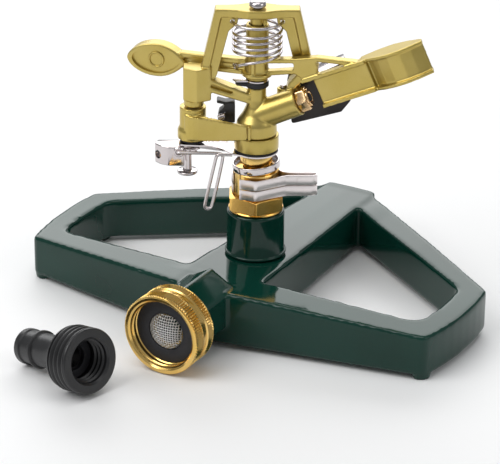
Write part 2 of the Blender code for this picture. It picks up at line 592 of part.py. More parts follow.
def trip_gear(head_frame, trip_frame, wire_frame, gold, chrome, black):
    """The dog, lever and pin turn together on the post. Points are in the head's own frame."""
    pivot = (PIVOT_X, 0.0, 0.0)
    here = spot(*pivot)
    at = (-PIVOT_X, 0.0, 0.0)
    dog = piece("trip_dog", lathe([
        (2.05, 71.4), (4.8, 71.4), (5.15, 71.8), (5.15, 84.2), (4.8, 84.6), (2.05, 84.6)]), gold, trip_frame)
    band = [(-29.4, -2.4), (-28.2, -5.2), (-25.6, -7.0), (-20.0, -8.6), (-12.0, -9.8), (-3.0, -10.5), (-3.0, -8.9),
            (-12.0, -8.1), (-19.4, -6.4), (-21.0, -4.6), (-23.0, -3.2)]
    combine(dog, "UNION", slab([(x - PIVOT_X, y) for x, y in band],
                               lambda x, y: mix(73.4, 74.4, (x + 5.0) / 27.0),
                               lambda x, y: mix(83.4, 80.4, (x + 5.0) / 27.0)))
    combine(dog, "DIFFERENCE", rod(2.05, 70.0, 86.0))
    piece("trip_washer", lathe([(2.05, 70.4), (4.9, 70.4), (4.9, 71.1), (2.05, 71.1)]), black, trip_frame)
    pin = piece("trip_pin", lathe([(0.0, 65.0), (1.75, 65.0), (1.75, 96.4), (0.0, 96.4)], SMALL), chrome, trip_frame)
    combine(pin, "UNION", lathe([
        (0.0, 56.2), (2.2, 56.4), (3.6, 57.0), (3.9, 57.6), (1.75, 57.8), (1.75, 66.6), (0.0, 66.6)], SMALL,
        spot(PIN_STEP, 0.0, 0.0)))
    shift = spot(*at)
    lever = piece("trip_lever", slab([
        (-39.3, -1.6), (-34.6, -4.6), (-28.4, -4.6), (-28.4, 3.2), (-38.4, 3.2)], 61.0, 69.0, shift), chrome,
        trip_frame)
    fy, fz = FLIP_AXIS
    combine(lever, "UNION", slab([(-29.5, -3.4), (-24.8, -3.6), (-24.8, 3.6), (-29.5, 3.0)], 67.4, 69.0, shift),
            rod(3.6, 67.4, 69.0, sides=24),
            rod(2.2, -31.6, -28.8, shift @ spot(0.0, fy, fz) @ ALONG_X, SMALL), solver=CROWDED)
    combine(lever, "DIFFERENCE", slab([
        (-37.6, -1.2), (-34.0, -3.5), (-27.0, -3.5), (-27.0, 2.1), (-37.4, 2.1)], 60.0, 67.9, shift),
        rod(2.05, 60.0, 70.0, sides=SMALL),
        rod(1.5, -42.0, -36.5, shift @ spot(0.0, 0.8, 64.8) @ ALONG_X, SMALL),
        rod(0.95, -33.0, -28.0, shift @ spot(0.0, fy, fz) @ ALONG_X, SMALL), solver=CROWDED)

    bend = [(-18.6 + 1.5 * math.cos(math.radians(a)), 45.4 + 1.5 * math.sin(math.radians(a)))
            for a in (-20, -55, -90, -125, -160, -193)]
    right = [(-33.0, 0.0, 67.2), (-14.4, 0.0, 67.2), (-13.2, 0.0, 66.9), (-12.8, 0.0, 65.8)]
    left = [(-15.9, -1.5, 65.4), (-15.4, -1.6, 66.8), (-14.6, -1.6, 67.3), (-9.4, -1.6, 67.2)]
    loop = [(x, -0.8 - 0.12 * i, z) for i, (x, z) in enumerate(bend)]
    hairpin = [Vector((x, y, z - fz)) for x, y, z in right + loop + left]
    piece("trip_wire", tube(hairpin, WIRE_R, 6), chrome, wire_frame)

    rise = [(-30.2, 69.6, 4.2), (-27.5, 69.6, 5.0), (-22.0, 69.5, 5.2), (-17.0, 68.9, 5.0), (-12.4, 67.4, 5.2),
            (-10.4, 66.4, 5.6), (-9.0, 65.9, 6.0), (-5.6, 65.9, 6.4)]
    bm = bmesh.new()
    rows = [[bm.verts.new((x, y, z + dz)) for y, dz in ((-w, 0.0), (w, 0.0), (w, 0.6), (-w, 0.6))]
            for x, z, w in rise]
    bm.faces.new(rows[0])
    bm.faces.new(rows[-1][::-1])
    for one, two in zip(rows, rows[1:]):
        for i in range(4):
            j = (i + 1) % 4
            bm.faces.new((one[i], one[j], two[j], two[i]))
    strip = piece("trip_plate", bm, chrome, head_frame)
    combine(strip, "UNION", rod(8.6, 65.9, 66.5), solver=CROWDED)
    combine(strip, "DIFFERENCE", rod(5.3, 60.0, 70.0), rod(2.05, 60.0, 72.0, here, SMALL), solver=CROWDED)


def reversing_parts(parent, steel, black):
    piece("reversing_stop", slab(rounded([(-16.0, -1.2), (-8.7, -2.4), (-8.5, 3.0), (-10.5, 4.4), (-15.4, 3.8)],
                                         0.8, 2), 78.0, 87.0), black, parent)
    turns = [2.0 * math.pi * i / 8 for i in range(8 * 4 + 1)]
    coil = [(-15.6 + 0.8 * a / (2.0 * math.pi), -3.5 + 1.4 * math.cos(a), 81.0 + 1.4 * math.sin(a)) for a in turns]
    piece("trip_spring", tube(coil, 0.25, 4), steel, parent)


def deflector(head_frame, flap_frame, steel):
    px, pz = FLAP_PIVOT
    sheet = [(13.8, 74.4), (33.2, 79.6), (36.7, 84.2), (36.4, 96.0), (33.4, 103.6), (23.4, 99.0), (18.6, 97.6),
             (12.6, 97.2), (11.8, 92.6)]
    flap = piece("deflector_flap", plate([(x - px, z - pz) for x, z in sheet], 7.2, 8.0), steel, flap_frame)
    tongue = [(33.4, 103.6), (23.6, 99.1), (23.9, 98.4), (33.7, 102.9)]
    combine(flap, "UNION", plate([(x - px, z - pz) for x, z in tongue], -1.4, 7.8))
    combine(flap, "DIFFERENCE", rod(1.5, 5.0, 10.0, ALONG_Y, SMALL))
    piece("deflector_pin", lathe([
        (0.0, 1.2), (1.2, 1.2), (1.2, 8.3), (2.2, 8.3), (2.2, 8.9), (1.6, 9.4), (0.0, 9.4)], SMALL,
        spot(px, 0.0, pz) @ ALONG_Y), steel, head_frame)


# Hose adapter -----------------------------------------------------------------------------------

def adapter(black, rubber):
    """Lies loose on the ground, resting on its first thread and on the end of its tail."""
    axis = frame("adapter_axis", None, ADAPTER_TAIL, (0.0, 90.0 - ADAPTER_RISE, ADAPTER_YAW))
    outer = [(5.7, 0.0), (6.9, 0.5), (7.0, 1.0), (7.0, 3.0), (6.5, 3.5), (6.5, 8.3), (7.4, 8.8), (7.4, 10.0),
             (6.5, 10.4), (6.6, 23.6), (7.3, 25.0), (7.3, 26.2), (11.6, 26.8), (12.2, 27.2), (12.2, 28.0)]
    for turn in range(4):
        root = 28.2 + THREAD_PITCH * turn
        outer += [(THREAD_R - 1.2, root), (THREAD_R, root + 0.9), (THREAD_R, root + 1.6)]
    outer += [(THREAD_R, ADAPTER_LEN - 0.5), (THREAD_R - 0.5, ADAPTER_LEN), (ADAPTER_BORE + 0.9, ADAPTER_LEN)]
    inner = [(ADAPTER_BORE, ADAPTER_LEN - 0.9), (ADAPTER_BORE, 26.6), (4.4, 26.6), (4.4, 0.0)]
    piece("hose_adapter", lathe(outer + inner), black, axis)
    piece("adapter_seal", lathe([(5.0, 26.9), (8.0, 26.9), (8.0, 28.6), (5.0, 28.6)], 24), rubber, axis)


def build():
    for old in list(bpy.data.objects):
        bpy.data.objects.remove(old)
    green = finish("green_paint", (0.012, 0.065, 0.045), 0.22, 0.0)
    gold = finish("old_gold", (0.52, 0.40, 0.09), 0.38, 0.9)
    brass = finish("polished_brass", (0.80, 0.55, 0.18), 0.2, 1.0)
    chrome = finish("chrome", (0.75, 0.73, 0.72), 0.12, 1.0)
    steel = finish("steel", (0.60, 0.58, 0.58), 0.25, 1.0)
    screen = finish("screen_steel", (0.45, 0.45, 0.45), 0.35, 1.0)
    plastic = finish("black_plastic", (0.015, 0.015, 0.016), 0.45, 0.0)
    rubber = finish("black_rubber", (0.02, 0.02, 0.023), 0.7, 0.0)

    head_frame = frame("head_axis", None, (0.0, 0.0, 0.0), (0.0, 0.0, HEAD_YAW))
    arm_frame = frame("arm_axis", head_frame, (0.0, 0.0, 0.0), (0.0, 0.0, ARM_YAW))
    trip_frame = frame("trip_axis", head_frame, (PIVOT_X, 0.0, 0.0))
    wire_frame = frame("wire_axis", head_frame, (0.0, FLIP_AXIS[0], FLIP_AXIS[1]))
    flap_frame = frame("flap_axis", head_frame, (FLAP_PIVOT[0], 0.0, FLAP_PIVOT[1]))

    base(green)
    riser(green, brass)
    inlet(brass, rubber, screen)
    trip_collars(chrome, brass)
    bearing(head_frame, brass, chrome, rubber, steel)
    head(head_frame, gold, brass, steel, rubber)
    arm(arm_frame, gold, brass)
    arm_spring(head_frame, steel)
    trip_gear(head_frame, trip_frame, wire_frame, gold, chrome, rubber)
    reversing_parts(head_frame, steel, plastic)
    deflector(head_frame, flap_frame, steel)
    adapter(plastic, rubber)


build()
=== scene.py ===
import json
import math

import bpy
from mathutils import Matrix, Vector


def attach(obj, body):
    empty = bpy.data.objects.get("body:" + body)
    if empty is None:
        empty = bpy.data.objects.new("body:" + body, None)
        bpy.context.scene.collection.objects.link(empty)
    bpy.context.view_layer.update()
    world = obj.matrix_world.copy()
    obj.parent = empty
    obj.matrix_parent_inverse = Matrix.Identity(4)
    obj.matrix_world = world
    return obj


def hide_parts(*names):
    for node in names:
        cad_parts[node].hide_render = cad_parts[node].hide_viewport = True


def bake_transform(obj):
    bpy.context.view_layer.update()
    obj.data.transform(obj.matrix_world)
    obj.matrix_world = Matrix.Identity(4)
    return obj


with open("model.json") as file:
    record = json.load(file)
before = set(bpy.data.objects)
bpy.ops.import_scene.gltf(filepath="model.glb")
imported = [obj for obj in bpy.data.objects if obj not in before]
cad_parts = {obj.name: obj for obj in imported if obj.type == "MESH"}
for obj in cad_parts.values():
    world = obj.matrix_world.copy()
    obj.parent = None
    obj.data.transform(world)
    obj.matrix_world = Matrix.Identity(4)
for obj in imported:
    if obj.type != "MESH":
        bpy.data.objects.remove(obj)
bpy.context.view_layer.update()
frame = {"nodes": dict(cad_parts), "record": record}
identity = Matrix.Identity(4)
standing = Matrix(((1, 0, 0, 0), (0, 0, 1, 0), (0, 1, 0, 0), (0, 0, 0, 1)))     # draws (x, z), thick along y
weldGap = 0.0005


def clearPick():
    if bpy.context.object and bpy.context.object.mode == "EDIT":
        bpy.ops.object.mode_set(mode="OBJECT")
    bpy.ops.object.select_all(action="DESELECT")


def pick(made):
    clearPick()
    made.select_set(True)
    bpy.context.view_layer.objects.active = made


def pickAll():
    bpy.ops.mesh.select_all(action="SELECT")


def spot(x, y, z):
    return Matrix.Translation((x, y, z))


def turn(angle, axis):
    return Matrix.Rotation(math.radians(angle), 4, axis)


# Draws an open chain of edges and stays in edit mode.
def startLine(points):
    clearPick()
    bpy.ops.mesh.primitive_plane_add(size=1.0, enter_editmode=True)
    bpy.ops.mesh.merge(type="CENTER")
    bpy.ops.transform.translate(value=points[0])
    for a, b in zip(points, points[1:]):
        bpy.ops.mesh.extrude_vertices_move(TRANSFORM_OT_translate={"value": [q - p for p, q in zip(a, b)]})


def weld():
    pickAll()
    bpy.ops.mesh.remove_doubles(threshold=weldGap)
    bpy.ops.mesh.normals_make_consistent(inside=False)


def drawn(place):
    bpy.ops.object.mode_set(mode="OBJECT")
    made = bpy.context.object
    put(made, place)
    return made


# Turns a closed (radius, height) profile about Z.
def spun(profile, steps=96, place=identity):
    points = [(r, 0.0, z) for r, z in profile]
    startLine(points + points[:1])
    pickAll()
    bpy.ops.mesh.spin(steps=steps, angle=2.0 * math.pi, center=(0, 0, 0), axis=(0, 0, 1))
    weld()
    return drawn(place)


# Raises an (x, y) outline from one height to another.
def slabbed(outline, low, high, place=identity, soft=0.0, segments=2):
    startLine([(x, y, low) for x, y in outline])
    pickAll()
    bpy.ops.mesh.edge_face_add()
    bpy.ops.mesh.extrude_region_move(TRANSFORM_OT_translate={"value": (0, 0, high - low)})
    weld()
    if soft:
        bpy.ops.mesh.bevel(offset=soft, segments=segments, affect="EDGES", clamp_overlap=True)
    return drawn(place)


def plated(outline, near, far, place=identity):
    made = slabbed(outline, near, far)
    made.data.transform(place @ standing)
    return flipped(made)


def flipped(made):
    pick(made)
    bpy.ops.object.mode_set(mode="EDIT")
    pickAll()
    bpy.ops.mesh.normals_make_consistent(inside=False)
    bpy.ops.object.mode_set(mode="OBJECT")
    return made


def put(made, place):
    pick(made)
    made.matrix_world = place
    bpy.ops.object.transform_apply(location=True, rotation=True, scale=True)


# A straight bar between two points of the (x, z) plane.
def barred(start, end, thick, near, far, place=identity):
    a, b = Vector(start), Vector(end)
    run = b - a
    angle = math.atan2(run.y, run.x)
    clearPick()
    middle = (a + b) / 2.0
    bpy.ops.mesh.primitive_cube_add(size=1.0, location=(middle.x, (near + far) / 2.0, middle.y),
                                    rotation=(0.0, -angle, 0.0), scale=(run.length, far - near, thick))
    made = bpy.context.object
    put(made, place @ made.matrix_world)
    return made


def rodded(radius, low, high, place=identity, sides=64):
    clearPick()
    bpy.ops.mesh.primitive_cylinder_add(vertices=sides, radius=radius, depth=high - low)
    made = bpy.context.object
    put(made, place @ spot(0.0, 0.0, (low + high) / 2.0))
    return made


# A round wire along a list of points.
def wired(points, radius, kind="NURBS", finish=3, sides=3):
    clearPick()
    bpy.ops.curve.primitive_nurbs_path_add()
    made = bpy.context.object
    made.data.splines.clear()
    line = made.data.splines.new(kind)
    line.points.add(len(points) - 1)
    for knot, point in zip(line.points, points):
        knot.co = (*point, 1.0)
    if kind == "NURBS":
        line.order_u = 3
        line.use_endpoint_u = True
        line.resolution_u = finish
    made.data.bevel_depth = radius
    made.data.bevel_resolution = sides
    made.data.use_fill_caps = True
    bpy.ops.object.convert(target="MESH")
    return bpy.context.object


def joined(parts):
    clearPick()
    for part in parts:
        part.select_set(True)
    bpy.context.view_layer.objects.active = parts[0]
    bpy.ops.object.join()
    return bpy.context.object


def modify(made, kind, **settings):
    pick(made)
    step = made.modifiers.new(kind.title(), kind)
    for name, value in settings.items():
        setattr(step, name, value)
    bpy.ops.object.modifier_apply(modifier=step.name)
    return made


# Melts overlapping parts into one skin, as a casting's fillets do.
def fused(parts, voxel, soften=3):
    made = modify(joined(parts), "REMESH", mode="VOXEL", voxel_size=voxel)
    return modify(made, "SMOOTH", factor=0.5, iterations=soften)


def rounded(made, width, segments, angle):
    return modify(made, "BEVEL", width=width, segments=segments, limit_method="ANGLE",
                  angle_limit=math.radians(angle))


def cut(made, tools, operation="DIFFERENCE"):
    for tool in tools:
        modify(made, "BOOLEAN", operation=operation, solver="MANIFOLD", object=tool)
        bpy.data.objects.remove(tool)
    return made


# Puts a finished shape in its place in metres, with its finish, its body and the CAD nodes it stands for.
def settle(made, name, body, look, nodes=(), place=identity, angle=35.0):
    put(made, Matrix.Scale(0.001, 4) @ place)
    made.name = name
    made.data.name = name
    made.data.materials.clear()
    made.data.materials.append(look)
    for face in made.data.polygons:
        face.material_index = 0
    if angle:
        bpy.ops.object.shade_smooth_by_angle(angle=math.radians(angle))
    if body:
        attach(made, body)
    if nodes:
        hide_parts(*nodes)
    return made


def mix(a, b, t):
    return a + (b - a) * t


def clamped(value, top=1.0):
    return min(max(value, 0.0), top)


# The points of an arc that rounds one corner of an outline.
def eased(corner, before, after, radius, steps):
    corner, before, after = Vector(corner), Vector(before), Vector(after)
    toBefore = (before - corner).normalized()
    toAfter = (after - corner).normalized()
    half = toBefore.angle(toAfter) / 2.0
    reach = radius / math.tan(half)
    centre = corner + (toBefore + toAfter).normalized() * radius / math.sin(half)
    first = corner + toBefore * reach - centre
    sweep = first.angle_signed(corner + toAfter * reach - centre)
    return [tuple(centre + Matrix.Rotation(-sweep * i / steps, 2) @ first) for i in range(steps + 1)]


def roundedOutline(outline, radius, steps=5):
    points = []
    for i, corner in enumerate(outline):
        reach = radius[i] if isinstance(radius, (list, tuple)) else radius
        points += eased(corner, outline[i - 1], outline[(i + 1) % len(outline)], reach, steps)
    return points


def ngon(sides, across, first=0.0):
    radius = across / 2.0 / math.cos(math.pi / sides)
    angles = [math.radians(first) + 2.0 * math.pi * i / sides for i in range(sides)]
    return [(radius * math.cos(a), radius * math.sin(a)) for a in angles]


# Wraps a shader socket, so that shader maths reads as Python.
class Link:
    def __init__(self, tree, socket):
        self.tree = tree
        self.socket = socket

    def node(self, kind, settings=None, inputs=None, output=0):
        made = self.tree.nodes.new(kind)
        for name, value in (settings or {}).items():
            if name == "stops":
                ramp = made.color_ramp
                while len(ramp.elements) < len(value):
                    ramp.elements.new(0.5)
                for stop, (place, colour) in zip(ramp.elements, value):
                    stop.position = place
                    stop.color = colour
            else:
                setattr(made, name, value)
        for name, value in (inputs or {}).items():
            if isinstance(value, Link):
                self.tree.links.new(value.socket, made.inputs[name])
            else:
                made.inputs[name].default_value = value
        return Link(self.tree, made.outputs[output])

    def maths(self, operation, first, second):
        return self.node("ShaderNodeMath", {"operation": operation}, {0: first, 1: second})

    def __add__(self, other):
        return self.maths("ADD", self, other)

    def __radd__(self, other):
        return self.maths("ADD", other, self)

    def __sub__(self, other):
        return self.maths("SUBTRACT", self, other)

    def __rsub__(self, other):
        return self.maths("SUBTRACT", other, self)

    def __mul__(self, other):
        return self.maths("MULTIPLY", self, other)

    def __rmul__(self, other):
        return self.maths("MULTIPLY", other, self)

    def between(self, low, high):
        return self.node("ShaderNodeMapRange", {"clamp": True}, {0: self, 1: low, 2: high})

    def blend(self, first, second):
        return self.node("ShaderNodeMix", {"data_type": "RGBA"}, {0: self, 6: first, 7: second}, 2)


def newFinish(name, metallic=0.0, coat=0.0, ior=1.5):
    made = bpy.data.materials.new(name)
    made.use_nodes = True
    tree = made.node_tree
    shader = tree.nodes["Principled BSDF"]
    shader.inputs["Metallic"].default_value = metallic
    shader.inputs["Coat Weight"].default_value = coat
    shader.inputs["Coat Roughness"].default_value = 0.04
    shader.inputs["IOR"].default_value = ior
    at = Link(tree, None).node("ShaderNodeTexCoord", output=3)      # object coordinates, in metres
    return made, shader, at


def wireUp(shader, at, colour, roughness, bump=None, strength=0.0, distance=0.0):
    links = at.tree.links
    links.new(colour.socket, shader.inputs["Base Color"])
    links.new(roughness.socket, shader.inputs["Roughness"])
    if bump:
        raised = at.node("ShaderNodeBump", {}, {"Strength": strength, "Distance": distance, "Height": bump})
        links.new(raised.socket, shader.inputs["Normal"])


def noise(at, scale, detail=3.0, rough=0.5):
    inputs = {"Vector": at, "Scale": scale, "Detail": detail, "Roughness": rough}
    return at.node("ShaderNodeTexNoise", {}, inputs)


def rgb(r, g, b):
    return (r, g, b, 1.0)


def dimmed(colour, r, g, b):
    return rgb(colour[0] * r, colour[1] * g, colour[2] * b)


def enamel(name, deep, lively):
    made, shader, at = newFinish(name, ior=1.4)
    cloud = noise(at, 28.0)
    peel = noise(at, 900.0, 1.0)
    speck = noise(at, 4200.0, 2.0).between(0.68, 0.76)
    colour = cloud.between(0.35, 0.65).blend(deep, lively)
    wireUp(shader, at, speck.blend(colour, rgb(0.02, 0.10, 0.075)), 0.05 + cloud * 0.05, peel + cloud * 0.6,
           0.04, 0.00005)
    return made


def castMetal(name, base, tint, rough):
    made, shader, at = newFinish(name, metallic=0.9, coat=0.12)
    cloud = noise(at, 60.0)
    grain = noise(at, 2600.0, 4.0, 0.6)
    pits = noise(at, 5200.0, 2.0).between(0.66, 0.72)
    colour = cloud.between(0.3, 0.7).blend(base, tint)
    colour = (grain.between(0.3, 0.75) * 0.35).blend(colour, tint)
    colour = (pits * 0.45).blend(colour, dimmed(base, 0.4, 0.38, 0.35))
    roughness = rough + (cloud - 0.5) * 0.12 + (grain - 0.5) * 0.12
    wireUp(shader, at, colour, roughness, grain + pits * -0.6, 0.22, 0.00009)
    return made


def turnedMetal(name, base, tint, rough, metallic=1.0):
    made, shader, at = newFinish(name, metallic=metallic)
    lines = noise(at, 5200.0, 2.0, 0.6)
    cloud = noise(at, 90.0)
    stain = noise(at, 420.0, 4.0, 0.65).between(0.58, 0.75)
    colour = cloud.between(0.3, 0.7).blend(base, tint)
    colour = (stain * 0.25).blend(colour, dimmed(base, 0.6, 0.5, 0.4))
    wireUp(shader, at, colour, rough + lines * 0.10 + stain * 0.08, lines, 0.08, 0.00003)
    return made


def moulded(name, base, tint, rough, fine=1800.0, strength=0.25):
    made, shader, at = newFinish(name)
    cloud = noise(at, 70.0)
    grain = noise(at, fine, 3.0, 0.6)
    dust = noise(at, 3000.0, 2.0).between(0.66, 0.74)
    colour = cloud.between(0.3, 0.7).blend(base, tint)
    colour = (dust * 0.35).blend(colour, rgb(0.10, 0.10, 0.10))
    wireUp(shader, at, colour, rough + (grain - 0.5) * 0.2, grain, strength, 0.00008)
    return made


greenEnamel = enamel("greenEnamel", rgb(0.0015, 0.026, 0.017), rgb(0.003, 0.036, 0.025))
oldGold = castMetal("oldGold", rgb(0.50, 0.375, 0.085), rgb(0.60, 0.47, 0.15), 0.33)
polishedBrass = turnedMetal("polishedBrass", rgb(0.83, 0.53, 0.14), rgb(0.90, 0.62, 0.22), 0.14)
hexBrass = turnedMetal("hexBrass", rgb(0.80, 0.46, 0.10), rgb(0.90, 0.58, 0.18), 0.16)
tipBrass = turnedMetal("tipBrass", rgb(0.90, 0.55, 0.25), rgb(0.95, 0.68, 0.38), 0.14)
brightChrome = turnedMetal("brightChrome", rgb(0.60, 0.55, 0.55), rgb(0.68, 0.63, 0.63), 0.07)
satinNickel = turnedMetal("satinNickel", rgb(0.86, 0.79, 0.78), rgb(0.92, 0.86, 0.85), 0.24)
springSteel = turnedMetal("springSteel", rgb(0.52, 0.48, 0.49), rgb(0.62, 0.58, 0.59), 0.14)
darkSteel = turnedMetal("darkSteel", rgb(0.030, 0.026, 0.026), rgb(0.055, 0.048, 0.046), 0.30, metallic=0.7)
screenWire = turnedMetal("screenWire", rgb(0.55, 0.55, 0.54), rgb(0.66, 0.66, 0.65), 0.25)
blackPlastic = moulded("blackPlastic", rgb(0.010, 0.010, 0.011), rgb(0.017, 0.017, 0.018), 0.36)
blackRubber = moulded("blackRubber", rgb(0.012, 0.012, 0.015), rgb(0.022, 0.022, 0.026), 0.62, 900.0, 0.4)
print("finishes ready")


# The CAD nodes that stay in view wear the same finishes.
nodeLooks = {
    "old_gold": oldGold, "brass": polishedBrass, "chrome": brightChrome, "steel": springSteel,
    "screen": screenWire, "black_plastic": blackPlastic, "black_rubber": blackRubber,
    "green_paint": greenEnamel,
}
for part in frame["record"]["subparts"]:
    shown = frame["nodes"][part["node"]]
    for holder in shown.material_slots:
        holder.material = nodeLooks[part["material_slot"]]


base = {
    "foot": 1.9, "flat": 20.0, "frontApex": (-1.0, -44.1), "frontTip": (88.9, -26.9), "backTip": (91.2, 22.6),
    "backRoot": (8.4, 82.4), "holeFrontRoot": (-1.0, -25.8), "holeFrontTip": (80.5, -16.1),
    "holeBackTip": (80.9, 18.1), "holeBackRoot": (7.0, 68.4), "beamVoxel": 0.8,
    "voxel": 0.72, "edge": 1.9, "sharp": 50.0, "neckZ": 16.2, "footRadius": 3.6, "footRise": 9.0,
}


def loopEdge(root, front, back, end, radius, bulge, steps):
    side = []
    for i in range(1, 8):
        t = i / 8.0
        side.append((mix(front[0], back[0], t) + 4.0 * bulge * t * (1.0 - t), mix(front[1], back[1], t)))
    return ([root] + eased(front, root, side[0], radius, steps) + side
            + eased(back, side[-1], end, radius, steps) + [end])


def sideLoop():
    b = base
    outer = loopEdge(b["frontApex"], b["frontTip"], b["backTip"], b["backRoot"], 3.2, 2.6, 6)
    inner = loopEdge(b["holeFrontRoot"], b["holeFrontTip"], b["holeBackTip"], b["holeBackRoot"], 7.0, 1.2, 8)
    return slabbed(outer + inner[::-1], b["foot"], b["flat"])


def mirrored(made):
    pick(made)
    bpy.ops.object.duplicate()
    other = bpy.context.object
    put(other, Matrix.Scale(-1.0, 4, (1, 0, 0)))
    return flipped(other)


# Height of the base's top face: it falls to the tips in front, and is nearly level behind.
def baseTop(x, y):
    x = abs(x)
    front = 24.2 - 0.065 * max(x, 14.0)
    back = 19.9 - 0.015 * x - 1.1 * max(0.0, 1.0 - max(x - 12.0, 0.0) / 40.0)
    beamShare = clamped((y + 16.0) / 34.0)
    spineShare = clamped((y + 30.0) / 108.0)
    away = clamped((x - 15.0) / 12.0)
    away = away * away * (3.0 - 2.0 * away)
    return mix(front, back, mix(spineShare, beamShare, away))


def makeBase():
    b = base
    loop = rounded(sideLoop(), b["edge"], 4, b["sharp"])
    plan = [(-17.4, -32.0), (17.4, -32.0), (11.4, 82.9), (-11.4, 82.9)]
    spine = slabbed(roundedOutline(plan, [0.5, 0.5, 1.6, 1.6], 4), b["foot"], b["flat"])
    for point in spine.data.vertices:
        if point.co.z > 10.0:
            point.co.z += 0.9 * clamped((point.co.y + 20.0) / 100.0)
    rounded(spine, b["edge"], 4, b["sharp"])
    neck = slabbed(roundedOutline(ngon(6, 22.6, 30.0), 1.6, 3), 0.0, 23.2,
                   spot(0.0, -34.0, b["neckZ"]) @ turn(90, "X"))
    places = [(85.9, -23.2), (-85.9, -23.2), (86.0, 20.3), (-86.0, 20.3), (0.0, 77.0)]
    feet = [rodded(b["footRadius"], 0.0, b["footRise"], spot(x, y, 0.0), 40) for x, y in places]
    feet.append(rodded(9.0, 0.0, b["footRise"]))
    made = fused([loop, mirrored(loop), spine], b["beamVoxel"], 5)
    for point in made.data.vertices:
        share = clamped((point.co.z - b["foot"]) / (b["flat"] - b["foot"]), 1.2)
        point.co.z += (baseTop(point.co.x, point.co.y) - b["flat"]) * share
    return fused([made, neck, *feet], b["voxel"])


baseShape = makeBase()
settle(baseShape, "baseCasting", "base", greenEnamel, ["base_casting"], angle=0)
bpy.ops.object.shade_smooth()
print("base made", len(baseShape.data.polygons))


stack = {"yaw": 30.0, "hex": 20.8, "hexLow": 42.4, "hexHigh": 48.5, "chamfer": 1.3, "bore": 5.3}
headTurn = turn(stack["yaw"], "Z")


def arc(cx, cz, radius, start, end, steps=6):
    return [(cx + radius * math.cos(math.radians(mix(start, end, i / steps))),
             cz + radius * math.sin(math.radians(mix(start, end, i / steps)))) for i in range(steps + 1)]


riserShape = spun([(8.3, 18.8), (8.3, 22.9)] + arc(11.55, 23.6, 0.62, -80, 80, 8)
                  + [(11.4, 24.6), (11.4, 39.9)] + arc(10.4, 40.3, 1.0, 0, 90)
                  + [(9.4, 41.3), (9.0, 40.8), (8.6, 40.2), (8.6, 25.0), (6.6, 25.0), (6.6, 18.8)], 128)
settle(riserShape, "riserCoupling", "base", greenEnamel, ["riser_coupling"])


# The bush's hexagon, with its corners turned off at both ends.
def bushHex():
    low, high, chamfer = stack["hexLow"], stack["hexHigh"], stack["chamfer"]
    made = slabbed(ngon(6, stack["hex"], stack["yaw"] - 90.0), low, high, soft=0.25)
    crown = stack["hex"] / 2.0 + 0.25
    wide = crown + chamfer * 2.0
    ring = spun([(0.01, low - 0.5), (crown, low - 0.5), (crown, low), (wide, low + chamfer),
                 (wide, high - chamfer), (crown, high), (crown, high + 0.5), (0.01, high + 0.5)])
    cut(made, [ring], "INTERSECT")
    return cut(made, [rodded(stack["bore"], low - 2.0, high + 2.0)])


bushShape = joined([bushHex(),
                    spun([(8.3, 33.2), (8.3, 41.7), (5.3, 41.7), (5.3, 33.2)], 64),
                    spun([(5.3, 41.5), (10.3, 41.5), (10.75, 41.8), (10.85, 42.2), (10.6, 42.5),
                          (5.3, 42.5)], 96),
                    spun([(8.0, 48.4), (8.0, 59.0), (7.8, 59.2), (5.3, 59.2), (5.3, 48.4)], 96)])
settle(bushShape, "hexBush", "base", hexBrass, ["hex_bush"])
print("riser and bush made")


collar = {"thick": 0.55, "ring": 9.7, "low": (48.8, 53.2), "height": 4.1}


# Gives a centre line its thickness, as a bent strip seen from above.
def strap(path, thick):
    inner = []
    for i, point in enumerate(path):
        run = (Vector(path[min(i + 1, len(path) - 1)]) - Vector(path[max(i - 1, 0)])).normalized()
        inner.append((point[0] - run.y * thick, point[1] + run.x * thick))
    return path + inner[::-1]


def collarShape(low):
    c = collar
    path = [(-6.6, -8.9), (-5.4, -9.4), (-1.2, -10.85), (-0.2, -11.0), (0.8, -10.7), (10.9, -5.3),
            (12.2, -4.75), (21.6, -4.5), (22.4, -4.4), (23.7, -3.7), (24.0, -3.3), (24.0, -2.1),
            (23.7, -1.6), (22.6, -1.0), (12.6, -1.1), (10.8, -0.4)]
    ringAngles = [math.radians(a) for a in range(6, 200, 8)]
    path += [(c["ring"] * math.cos(a), c["ring"] * math.sin(a)) for a in ringAngles]
    made = slabbed(strap(path, c["thick"]), low, low + c["height"])
    return rounded(made, 0.12, 2, 40)


for low, side in zip(collar["low"], ("Lower", "Upper")):
    settle(collarShape(low), "tripCollar" + side, "collar_" + side.lower(), satinNickel,
           ["trip_collar_" + side.lower()], headTurn, 30.0)
spacerShape = spun([(8.1, 48.5), (8.8, 48.5), (8.95, 48.7), (8.95, 58.1), (8.8, 58.3), (8.1, 58.3)])
settle(spacerShape, "collarSpacer", "base", polishedBrass, ["collar_spacer"])
cupTilt = headTurn @ spot(0.0, 0.0, 60.0) @ turn(-6.0, "Y") @ spot(0.0, 0.0, -60.0)
cupShape = spun([(7.4, 58.9), (8.8, 58.9)] + arc(8.9, 59.4, 0.5, -90, 0, 4) + arc(9.0, 61.5, 0.4, 0, 180)
                + [(8.6, 60.2), (8.3, 59.8), (7.4, 59.8)])
settle(cupShape, "dustCup", "head", brightChrome, ["dust_cup"], cupTilt)
settle(spun([(5.3, 61.3), (6.0, 61.3), (6.3, 61.6), (6.3, 65.3), (6.1, 65.6), (5.3, 65.6)], 96),
       "bearingSleeve", "head", polishedBrass, ["bearing_sleeve"])
settle(spun([(5.3, 66.7), (8.4, 66.7), (8.5, 66.8), (8.5, 67.1), (8.4, 67.2), (5.3, 67.2)], 96),
       "headWasher", "head", blackRubber, ["head_washer"])
